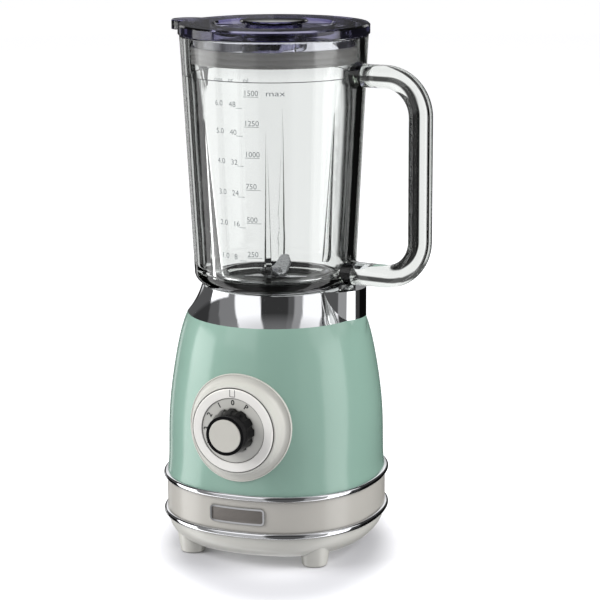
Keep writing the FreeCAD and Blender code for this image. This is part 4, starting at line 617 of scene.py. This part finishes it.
class COUNTERTOP_OT_dial(PieceOperator, bpy.types.Operator):
    """Turn the dial's dish and ring, paint the shade of the index groove and print the figures"""
    bl_idname = "countertop.dial"
    bl_label = "Dial"

    # Closed outlines in millimetres: radius, height, and the share by which the height is taken over the
    # housing's own surface, and not over the flat seat of the ring.
    DISH = ((6.0, -10.0, 0.0), (6.0, 0.0, 0.0), (31.8, 0.0, 0.0), (31.8, 1.9, 0.0), (32.1, 2.2, 0.0),
            (32.6, 2.2, 0.0), (33.2, 1.8, 0.0), (33.6, 0.9, 0.0), (33.9, 0.8, 0.4), (34.4, 0.7, 0.72),
            (35.2, 0.6, 0.9), (36.4, 0.6, 0.98), (37.6, 0.7, 1.0), (39.0, 0.9, 1.0), (39.5, 1.4, 1.0),
            (39.8, 1.4, 1.0), (40.1, 1.0, 1.0), (40.1, -0.8, 1.0), (34.0, -3.0, 1.0), (6.0, -10.0, 0.0))
    RING_FACE = 3.4                # the ring's face above its seat
    RING = ((24.4, 0.1, 0.0), (24.4, 3.0, 0.0), (24.8, RING_FACE, 0.0), (30.6, RING_FACE, 0.0),
            (31.3, 2.7, 0.0), (31.3, 0.1, 0.0), (24.4, 0.1, 0.0))
    SEGMENTS = 160                 # faces round the dial's axis
    SHADE_ANGLE = 35               # degrees up to which the turned pieces are shaded smooth
    INDEX = (2.1 * MM, 25.4 * MM, 30.8 * MM, 0.4 * MM)     # half width, inner end, outer end, and width of the groove's painted shade
    GROOVE_FILM = 0.04 * MM        # how far the groove's painted shade stands off the ring
    INK_FILM = 0.06 * MM           # how far the figures stand off the disc
    RAY_GAP = 0.05                 # metres behind the part where a ray starts
    BOLD = 0.13 * MM               # how far the edges of the figures' strokes are pushed out
    # Each figure and its place, in degrees clockwise from the top with the knob at 0.
    FIGURES = (("P", 30), ("0", 0), ("1", -30), ("2", -60), ("3", -90), ("4", -120))

    def execute(self, context):
        self.shell = ray_tree("body_shell")
        self.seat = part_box("dial_ring")[1].y
        self.mould("dial_dish", self.DISH, "dial_bezel", cream())
        ivory = moulded_abs("moulded_ivory", linear("#EFEDE8"), roughness=0.26, coat=0.4)
        self.mould("dial_index_ring", self.RING, "dial_ring", ivory)
        # The index groove is drawn as painted shade: flat dark strips in a matt ink just off the ring's face.
        groove_shade_ink = screen_ink("groove_shade", linear("#2E2C2A"))
        settle(self.index(), "dial_index_shade", body_with("dial_ring"), groove_shade_ink)
        skin("number_disc", moulded_abs("moulded_disc", linear("#CBCAC4"), roughness=0.42, coat=0.1))
        figures = [self.figure(words, angle) for words, angle in self.FIGURES]
        ink = screen_ink("dial_ink", linear("#1A1A1C"))
        settle(join(figures), "dial_figures", body_with("number_disc"), ink)
        return {"FINISHED"}

    def mould(self, name, outline, node, material):
        """Turn an outline into a piece that stands for a node."""
        piece = settle(self.turn(outline), name, body_with(node), material)
        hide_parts(node)

    def housing(self, x, z):
        """How far forward the housing lies, told from its plain back, which mirrors the front."""
        start = Vector((x, CAD_HIGH.y + self.RAY_GAP, z))
        return -self.shell.ray_cast(start, Vector((0, -1, 0)))[0].y

    def turn(self, outline):
        """Turn a closed outline about the dial's axis, ring by ring."""
        bpy.ops.object.select_all(action="DESELECT")
        bpy.ops.mesh.primitive_circle_add(vertices=self.SEGMENTS, radius=outline[0][0] * MM)
        piece = bpy.context.object
        shares = [far[0] / near[0] for near, far in zip(outline, outline[1:])]
        in_edit_mode(piece, *[lambda share=share: self.grow(share) for share in shares])
        for k, v in enumerate(piece.data.vertices):
            radius, height, share = outline[k // self.SEGMENTS]
            angle = math.atan2(v.co.y, v.co.x)
            x, z = radius * MM * math.cos(angle), DIAL_Z + radius * MM * math.sin(angle)
            base = self.seat + share * (self.housing(x, z) - self.seat)
            v.co = (x, base - height * MM, z)
        in_edit_mode(piece, lambda: bpy.ops.mesh.remove_doubles(threshold=WELD),
                     lambda: bpy.ops.mesh.normals_make_consistent(inside=False))
        smooth(piece, self.SHADE_ANGLE)
        return piece

    def grow(self, share):
        """Extrude the open edge and scale it about the axis."""
        bpy.ops.mesh.extrude_region_move()
        bpy.ops.transform.resize(value=(share, share, share), center_override=(0, 0, 0))

    def index(self):
        """Painted shade of the groove round the index tab at the top of the ring, open at its outer end:
        three dark strips.
        """
        half, inner, outer, line = self.INDEX
        face = self.seat - self.RING_FACE * MM - self.GROOVE_FILM
        sides = [self.strip(-half, inner, line, outer - inner, face),
                 self.strip(half - line, inner, line, outer - inner, face),
                 self.strip(line - half, inner, 2 * (half - line), line, face)]
        return join(sides)

    def strip(self, x, z, width, height, face):
        """A flat dark strip of painted groove shade on the ring's face."""
        bpy.ops.object.select_all(action="DESELECT")
        bpy.ops.mesh.primitive_plane_add(size=1)
        piece = bpy.context.object
        for v in piece.data.vertices:
            v.co = (x + (v.co.x + 0.5) * width, face, DIAL_Z + z + (v.co.y + 0.5) * height)
        return piece

    def figure(self, words, angle):
        """One figure, upright at the top of the dial and turned clockwise by an angle."""
        piece = flat_text(words, sizes().dial_digit, self.BOLD)
        low = min(v.co.x for v in piece.data.vertices)
        high = max(v.co.x for v in piece.data.vertices)
        turn = math.radians(angle)
        lift = sizes().dial_radius - sizes().dial_digit / 2
        for v in piece.data.vertices:
            x = v.co.x - (low + high) / 2
            y = v.co.y + lift
            v.co = (x * math.cos(turn) + y * math.sin(turn), DIAL_FACE_Y - self.INK_FILM,
                    DIAL_Z + y * math.cos(turn) - x * math.sin(turn))
        return piece


class COUNTERTOP_OT_knob(PieceOperator, bpy.types.Operator):
    """Mould the fluted grip and its cap, and fit their spindle"""
    bl_idname = "countertop.knob"
    bl_label = "Speed knob"

    def execute(self, context):
        skin("knob_grip", Finishes.get("grip", moulded_grip, tuple(colours().grip)))
        skin("knob_cap", moulded_abs("moulded_cap", linear("#C6C4BC"), roughness=0.4, coat=0.15))
        skin("knob_spindle", steel())
        return {"FINISHED"}


class COUNTERTOP_OT_jug(PieceOperator, bpy.types.Operator):
    """Press the glass jug"""
    bl_idname = "countertop.jug"
    bl_label = "Glass jug"

    def execute(self, context):
        skin("glass_jug", pressed_glass(), degrees=35)
        return {"FINISHED"}


class COUNTERTOP_OT_scale(PieceOperator, bpy.types.Operator):
    """Print the jug's scale"""
    bl_idname = "countertop.scale"
    bl_label = "Jug scale"

    FULL = 1500                    # millilitres at the top mark
    TOP_MARK_DROP = 38.9 * MM      # the top mark below the glass rim
    MILLILITRES = (FULL, 1250, 1000, 750, 500, 250)
    OUNCES = (48, 40, 32, 24, 16, 8)
    OUNCE_ML = 29.57               # millilitres in an ounce
    OUNCES_IN_CUP = 8
    # Degrees about the jug's axis where each column of marks starts.
    MAX_COLUMN = -74.0
    RIGHT_COLUMN = -87.6
    MIDDLE_COLUMN = -97.4
    LEFT_COLUMN = -107.5
    RIGHT_LINE = 11.0 * MM         # length of a line under the right column's figures
    MIDDLE_LINE = 5.0 * MM
    MIDDLE_LINE_TURN = 4.5         # degrees from the middle column's start to its lines
    LINE = 0.35 * MM               # thickness of a line
    FIGURE_LIFT = 0.8 * MM         # the foot of a figure above its line
    CUPS_LIFT = 1.2 * MM           # the same for the cups, which have no line of their own
    OUNCES_DROP = 1.5 * MM         # the lines for ounces below their level
    HEADS_LIFT = 10.5 * MM         # the heads of the columns above the top mark
    HEADS_SHARE = 0.75             # their height, as a share of the figures'
    MAX_WIDTH = 1.5                # how much wider the word by the top mark is set
    FILM = 0.07 * MM               # how far the print stands off the glass
    WALL = 6.8 * MM                # thickness of the glass
    BORE_SIDE = -90.0              # degrees about the axis where the bore is read
    FILL_STEP = 10.0               # millilitres in a step of filling
    MILLILITRE = 1e-6              # cubic metres
    RAY_START = 0.5                # metres from the axis where a ray starts

    def execute(self, context):
        self.glass = ray_tree("glass_jug")
        marks = []
        height = sizes().digit
        top = self.level(self.FULL)
        for amount in self.MILLILITRES:
            z = self.level(amount)
            marks.append(self.words(str(amount), height, self.RIGHT_COLUMN, z + self.FIGURE_LIFT))
            marks.append(self.rule(self.RIGHT_COLUMN, self.RIGHT_LINE, z))
        marks.append(self.words("max", height, self.MAX_COLUMN, top + self.FIGURE_LIFT, self.MAX_WIDTH))
        for amount in self.OUNCES:
            z = self.level(amount * self.OUNCE_ML) - self.OUNCES_DROP
            cups = "%.1f" % (amount / self.OUNCES_IN_CUP)
            marks.append(self.words(cups, height, self.LEFT_COLUMN, z + self.CUPS_LIFT))
            marks.append(self.words(str(amount), height, self.MIDDLE_COLUMN, z + self.FIGURE_LIFT))
            marks.append(self.rule(self.MIDDLE_COLUMN + self.MIDDLE_LINE_TURN, self.MIDDLE_LINE, z))
        heads = (("cups", self.LEFT_COLUMN), ("oz", self.MIDDLE_COLUMN), ("ml", self.RIGHT_COLUMN))
        for words, column in heads:
            marks.append(self.words(words, height * self.HEADS_SHARE, column, top + self.HEADS_LIFT))
        ink = screen_ink("glass_ink", linear("#767C7E"))
        settle(join(marks), "jug_scale", body_with("glass_jug"), ink)
        return {"FINISHED"}

    def level(self, amount):
        """Height that an amount in millilitres fills the jug to, found down from the top mark."""
        z = JUG_RIM_Z - self.TOP_MARK_DROP
        for _ in range(int((self.FULL - amount) / self.FILL_STEP)):
            bore = self.radius(z, self.BORE_SIDE) - self.WALL
            z -= self.FILL_STEP * self.MILLILITRE / (math.pi * bore * bore)
        return z

    def radius(self, z, degrees):
        """The glass wall's outside radius at a height and angle, read from the solid."""
        out = Vector((math.cos(math.radians(degrees)), math.sin(math.radians(degrees)), 0))
        place = self.glass.ray_cast(Vector((0, 0, z)) + out * self.RAY_START, -out)[0]
        return math.hypot(place.x, place.y)

    def wrap(self, piece, column, z):
        """Wrap a flat mesh round the glass from a column's angle and a base height."""
        start = math.radians(column)
        middle = self.radius(z, column)
        for v in piece.data.vertices:
            angle = start + v.co.x / middle
            reach = self.radius(z + v.co.y, math.degrees(angle)) + self.FILM
            v.co = (reach * math.cos(angle), reach * math.sin(angle), z + v.co.y)
        return piece

    def words(self, words, height, column, z, widen=1.0):
        """Printed words, widened by a share and wrapped round the glass."""
        piece = flat_text(words, height)
        for v in piece.data.vertices:
            v.co.x *= widen
        return self.wrap(piece, column, z)

    def rule(self, column, length, z):
        """A printed line under a figure."""
        bpy.ops.object.select_all(action="DESELECT")
        bpy.ops.mesh.primitive_grid_add(x_subdivisions=8, y_subdivisions=1, size=1)
        piece = bpy.context.object
        for v in piece.data.vertices:
            v.co = ((v.co.x + 0.5) * length, v.co.y * self.LINE, 0)
        return self.wrap(piece, column, z)


class COUNTERTOP_OT_jug_base(PieceOperator, bpy.types.Operator):
    """Fit the ring, carrier, seals and bushes under the jug"""
    bl_idname = "countertop.jug_base"
    bl_label = "Jug base"

    def execute(self, context):
        skin("jug_base_ring", grey_moulding())
        skin("blade_carrier", grey_moulding())
        skin("carrier_seal", silicone())
        skin("shaft_seal", rubber())
        bronze = sintered_bronze()
        skin("upper_bush", bronze)
        skin("lower_bush", bronze)
        return {"FINISHED"}


class COUNTERTOP_OT_blades(PieceOperator, bpy.types.Operator):
    """Grind and brush the blades, and fit their shaft and drive dog"""
    bl_idname = "countertop.blades"
    bl_label = "Blades"

    def execute(self, context):
        for node in ("upper_blades", "lower_blades", "blade_washer", "blade_nut", "blade_shaft"):
            skin(node, stainless(), degrees=20)
        skin("drive_dog", grey_moulding())
        return {"FINISHED"}


class COUNTERTOP_OT_lid(PieceOperator, bpy.types.Operator):
    """Mould the smoky lid, its filler cap and its seal"""
    bl_idname = "countertop.lid"
    bl_label = "Lid and filler cap"

    # How densely each is dyed: absorption for each metre of depth.
    LID_DENSITY = 78.0
    CAP_DENSITY = 300.0

    def execute(self, context):
        skin("lid", smoky_san(tuple(colours().lid), self.LID_DENSITY))
        skin("filler_cap", smoky_san(tuple(colours().lid), self.CAP_DENSITY))
        skin("lid_seal", silicone())
        return {"FINISHED"}


class COUNTERTOP_OT_seat(PieceOperator, bpy.types.Operator):
    """Fit the jug seat, the interlock and the drive coupling"""
    bl_idname = "countertop.seat"
    bl_label = "Jug seat and drive"

    def execute(self, context):
        skin("jug_seat", grey_moulding())
        skin("interlock_plunger", grey_moulding())
        skin("interlock_switch", black_moulding())
        skin("drive_coupling", rubber())
        return {"FINISHED"}


class COUNTERTOP_OT_motor(PieceOperator, bpy.types.Operator):
    """Fit the motor inside the housing"""
    bl_idname = "countertop.motor"
    bl_label = "Motor"

    def execute(self, context):
        for node in ("stator_core", "armature_core"):
            skin(node, lamination())
        for node in ("field_coils", "armature_windings", "commutator"):
            skin(node, copper())
        for node in ("upper_bracket", "lower_bracket"):
            skin(node, alloy())
        for node in ("upper_bearing", "lower_bearing", "rotor_shaft", "tie_bolts", "motor_screws"):
            skin(node, steel())
        for node in ("brush_holders", "cooling_fan", "rotary_switch"):
            skin(node, black_moulding())
        skin("carbon_brushes", pressed_carbon())
        skin("motor_dampers", rubber())
        return {"FINISHED"}


class COUNTERTOP_OT_inlet(PieceOperator, bpy.types.Operator):
    """Fit the cord inlet and its clamp"""
    bl_idname = "countertop.inlet"
    bl_label = "Cord inlet"

    def execute(self, context):
        skin("cord_gland", black_moulding())
        skin("cord_clamp", black_moulding())
        skin("clamp_screws", steel())
        return {"FINISHED"}


# ---------------------------------------------------------------- studio
VIEW_FROM = Vector((0.6014, -1.5320, 0.5507))     # where the camera stands, and what it looks at
VIEW_AT = Vector((0.0172, 0.0065, 0.1878))
VIEW_ROLL = -0.23              # degrees
LENS_MM = 133.9
VIEW_AZIMUTH = math.atan2(VIEW_FROM.y, VIEW_FROM.x)


def aside(degrees, distance, height):
    """A place at an angle from the camera's side of the object, to the right where positive."""
    angle = VIEW_AZIMUTH + math.radians(degrees)
    return Vector((distance * math.cos(angle), distance * math.sin(angle), height))


class COUNTERTOP_OT_stage(PieceOperator, bpy.types.Operator):
    """Set up the floor, the reflection tent, the lamps and the camera"""
    bl_idname = "countertop.stage"
    bl_label = "Studio"

    # The tent's panels in three rows from the floor up: the sine of the elevation where a row ends, then
    # where each panel starts, in degrees from the camera and to the right where positive, and its brightness.
    ROWS = (
        (0.0, ((-180, 0.97), (-167, 0.004), (-154, 0.9), (-146, 0.004), (-112, 2.1), (-78, 0.25), (-60, 0.5),
               (-22, 0.1), (23, 0.35), (52, 1.9), (84, 0.05), (104, 0.004), (168, 0.97), (180, 0.97))),
        (0.28, ((-180, 0.1), (-112, 2.9), (-78, 0.25), (-60, 0.4), (-22, 0.05), (23, 0.35), (52, 2.1),
                (84, 0.05), (180, 0.05))),
        (0.88, ((-180, 1.05), (-150, 0.04), (-112, 0.12), (-94, 0.24), (-66, 1.25), (-24, 0.04), (20, 0.1),
                (30, 0.35), (44, 1.25), (76, 0.3), (86, 1.1), (104, 0.05), (150, 1.05), (180, 1.05))),
    )
    ROW_EDGE = (0.03, 0.04, 0.2)     # half the height over which a row fades into the next
    PANEL_EDGE = 1.2                 # degrees of soft edge inside each side of a panel
    RAMP_TOP = 3.0                   # the brightness that a ramp's white stands for
    OVERHEAD = 0.3                   # the brightness above the top row
    TENT = 4.0                       # the tent's radius in metres
    # Name, degrees from the camera's side, distance and height in metres, size in metres, and watts.
    SOFTBOXES = (("left_softbox", -78, 1.5, 1.0, 1.1, 27.0),
                 ("right_softbox", 78, 1.5, 1.0, 1.1, 25.0),
                 ("top_softbox", 180, 0.35, 1.9, 1.2, 9.0))
    FLOOR = 30                       # the floor's side in metres
    # The floor's glow is painted light that shapes its shadow into an oval: its centre, the oval's
    # proportions along and across the view, and for each glow the glow before and after its edge and where
    # that edge starts and ends, in metres. The first lightens the shadow under the body, the second whitens
    # the floor beyond it.
    SHADOW_CENTRE = (0.004, -0.009, 0)
    SHADOW_OVAL = (1, 0.6, 1)
    VEILS = ((0.23, 0.0, 0.06, 0.11), (0.0, 0.7, 0.115, 0.185))
    SKY = (0.42, 1.0)                # the world's brightness as a light, and as it is seen

    def execute(self, context):
        self.floor()
        self.tent()
        self.sky(context.scene)
        for name, degrees, distance, height, size, watts in self.SOFTBOXES:
            self.lamp(name, aside(degrees, distance, height), size, watts)
        self.camera(context.scene)
        context.scene.view_settings.view_transform = "Standard"
        return {"FINISHED"}

    def floor(self):
        """A pale floor that shows as white round the object and keeps its shadow near the feet, with painted
        light in its glow that lightens that shadow under the body.
        """
        bpy.ops.object.select_all(action="DESELECT")
        bpy.ops.mesh.primitive_plane_add(size=self.FLOOR, location=(0, 0, 0))
        ground = bpy.context.object
        ground.name = "floor"
        material, tree, shader, place = blank_material("floor_paper")
        dress(shader, Base_Color=linear("#D2D2D6"), Roughness=0.9, Specular_IOR_Level=0.1)
        relief(tree, shader, grain(tree, place, size_mm=3.0), depth_mm=0.02, strength=0.2)
        oval = add_node(tree, "ShaderNodeMapping",
                        {"Vector": place, "Location": self.SHADOW_CENTRE,
                         "Rotation": (0, 0, VIEW_AZIMUTH), "Scale": self.SHADOW_OVAL},
                        vector_type="TEXTURE").outputs[0]
        reach = add_node(tree, "ShaderNodeVectorMath", {0: oval}, operation="LENGTH").outputs["Value"]
        painted_glows = [levels(tree, reach, *veil, blend="SMOOTHSTEP") for veil in self.VEILS]
        seen = maths(tree, "MULTIPLY", self.seen_rays(tree), maths(tree, "ADD", *painted_glows))
        glow = add_node(tree, "ShaderNodeEmission", {"Color": WHITE, "Strength": seen})
        both = add_node(tree, "ShaderNodeAddShader", {0: shader.outputs[0], 1: glow.outputs[0]})
        tree.links.new(both.outputs[0], tree.nodes["Material Output"].inputs["Surface"])
        ground.data.materials.append(material)
        ground.visible_glossy = False
        ground.visible_transmission = False

    def seen_rays(self, tree):
        """1 on rays that show a surface: from the camera, off metal and through glass."""
        path = add_node(tree, "ShaderNodeLightPath").outputs
        opaque = maths(tree, "MAXIMUM", path["Is Camera Ray"], path["Is Glossy Ray"])
        return maths(tree, "MAXIMUM", opaque, path["Is Transmission Ray"])

    def tent(self):
        """A tent of light and dark panels that only metal and glass show."""
        bpy.ops.object.select_all(action="DESELECT")
        bpy.ops.mesh.primitive_uv_sphere_add(segments=64, ring_count=32, radius=self.TENT, location=(0, 0, 0))
        tent = bpy.context.object
        tent.name = "tent"
        in_edit_mode(tent, bpy.ops.mesh.flip_normals)
        material = bpy.data.materials.new("tent_panels")
        material.use_nodes = True
        tree = material.node_tree
        tree.nodes.clear()
        place = add_node(tree, "ShaderNodeTexCoord").outputs["Object"]
        aim = add_node(tree, "ShaderNodeMapping", {"Vector": place, "Rotation": (0, 0, -VIEW_AZIMUTH)})
        split = add_node(tree, "ShaderNodeSeparateXYZ", {0: aim.outputs["Vector"]}).outputs
        angle = maths(tree, "ARCTAN2", split["Y"], split["X"])
        turn = levels(tree, angle, low=0.0, high=1.0, start=-math.pi, end=math.pi)
        level = self.OVERHEAD
        for (top, panels), edge in reversed(tuple(zip(self.ROWS, self.ROW_EDGE))):
            row = add_node(tree, "ShaderNodeValToRGB", {"Fac": turn})
            self.fill_ramp(row.color_ramp, panels)
            bright = maths(tree, "MULTIPLY", row.outputs["Color"], self.RAMP_TOP)
            rise = levels(tree, split["Z"], low=0.0, high=1.0,
                          start=self.TENT * (top - edge), end=self.TENT * (top + edge))
            level = add_node(tree, "ShaderNodeMix", {"Factor": rise, "A": bright, "B": level},
                             data_type="FLOAT").outputs["Result"]
        glow = add_node(tree, "ShaderNodeEmission", {"Color": WHITE, "Strength": level})
        out = add_node(tree, "ShaderNodeOutputMaterial")
        tree.links.new(glow.outputs[0], out.inputs["Surface"])
        material.cycles.emission_sampling = "NONE"
        tent.data.materials.append(material)
        tent.visible_camera = False
        tent.visible_diffuse = False
        tent.visible_shadow = False

    def fill_ramp(self, ramp, panels):
        """Set a ramp's stops from a row of panels, with short soft edges."""
        stops = []
        for (start, level), (end, _) in zip(panels, panels[1:]):
            colour = (level / self.RAMP_TOP,) * 3 + (1,)
            for angle in (start + self.PANEL_EDGE, end - self.PANEL_EDGE):
                stops.append(((angle + 180) / 360, colour))
        while len(ramp.elements) > 1:
            ramp.elements.remove(ramp.elements[0])
        ramp.elements[0].position, ramp.elements[0].color = stops[0]
        for position, colour in stops[1:]:
            ramp.elements.new(position).color = colour

    def sky(self, scene):
        """A world that shows white and lights softly from all round."""
        world = bpy.data.worlds.new("studio_world")
        world.use_nodes = True
        scene.world = world
        tree = world.node_tree
        tree.nodes.clear()
        level = levels(tree, self.seen_rays(tree), *self.SKY)
        back = add_node(tree, "ShaderNodeBackground", {"Color": WHITE, "Strength": level})
        out = add_node(tree, "ShaderNodeOutputWorld")
        tree.links.new(back.outputs[0], out.inputs["Surface"])

    def lamp(self, name, place, size, watts):
        """A square softbox aimed at the middle of the object, which reflections don't show."""
        bpy.ops.object.select_all(action="DESELECT")
        bpy.ops.object.light_add(type="AREA", location=place)
        lamp = bpy.context.object
        lamp.name = name
        lamp.data.size = size
        lamp.data.energy = watts
        aim = Vector((0, 0, (CAD_LOW.z + CAD_HIGH.z) / 2)) - place
        lamp.rotation_euler = aim.to_track_quat("-Z", "Y").to_euler()
        lamp.visible_glossy = False
        lamp.visible_transmission = False

    def camera(self, scene):
        """The camera in front and to the right, looking a little down."""
        bpy.ops.object.select_all(action="DESELECT")
        bpy.ops.object.camera_add(location=VIEW_FROM)
        camera = bpy.context.object
        camera.name = "view_camera"
        roll = Matrix.Rotation(math.radians(VIEW_ROLL), 4, "Z")
        aim = (VIEW_AT - VIEW_FROM).to_track_quat("-Z", "Y").to_matrix().to_4x4()
        camera.matrix_world = Matrix.Translation(VIEW_FROM) @ aim @ roll
        camera.data.lens = LENS_MM
        camera.data.sensor_width = 36.0
        camera.data.clip_start = 0.01
        camera.data.clip_end = 50.0
        scene.camera = camera


class COUNTERTOP_PT_sidebar(bpy.types.Panel):
    """Lists the steps and the settings"""
    bl_idname = "COUNTERTOP_PT_sidebar"
    bl_label = "Countertop blender"
    bl_space_type = "VIEW_3D"
    bl_region_type = "UI"
    bl_category = "Appliance"

    def draw(self, context):
        for group in (context.scene.appliance_colours, context.scene.appliance_sizes):
            for key in group.__annotations__:
                self.layout.prop(group, key)
        for step in STEPS:
            self.layout.operator(step.bl_idname)


STEPS = (COUNTERTOP_OT_stage, COUNTERTOP_OT_housing, COUNTERTOP_OT_brightwork, COUNTERTOP_OT_undercarriage,
         COUNTERTOP_OT_badge, COUNTERTOP_OT_dial, COUNTERTOP_OT_knob, COUNTERTOP_OT_jug, COUNTERTOP_OT_scale,
         COUNTERTOP_OT_jug_base, COUNTERTOP_OT_blades, COUNTERTOP_OT_lid, COUNTERTOP_OT_seat,
         COUNTERTOP_OT_motor, COUNTERTOP_OT_inlet)
CLASSES = (ApplianceColours, ApplianceSizes) + STEPS + (COUNTERTOP_PT_sidebar,)


def register():
    for cls in CLASSES:
        bpy.utils.register_class(cls)
    bpy.types.Scene.appliance_colours = PointerProperty(type=ApplianceColours)
    bpy.types.Scene.appliance_sizes = PointerProperty(type=ApplianceSizes)


def unregister():
    del bpy.types.Scene.appliance_sizes
    del bpy.types.Scene.appliance_colours
    for cls in reversed(CLASSES):
        bpy.utils.unregister_class(cls)


def main():
    """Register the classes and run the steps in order."""
    register()
    for step in STEPS:
        getattr(bpy.ops.countertop, step.bl_idname.partition(".")[2])()


if __name__ == "__main__":
    main()
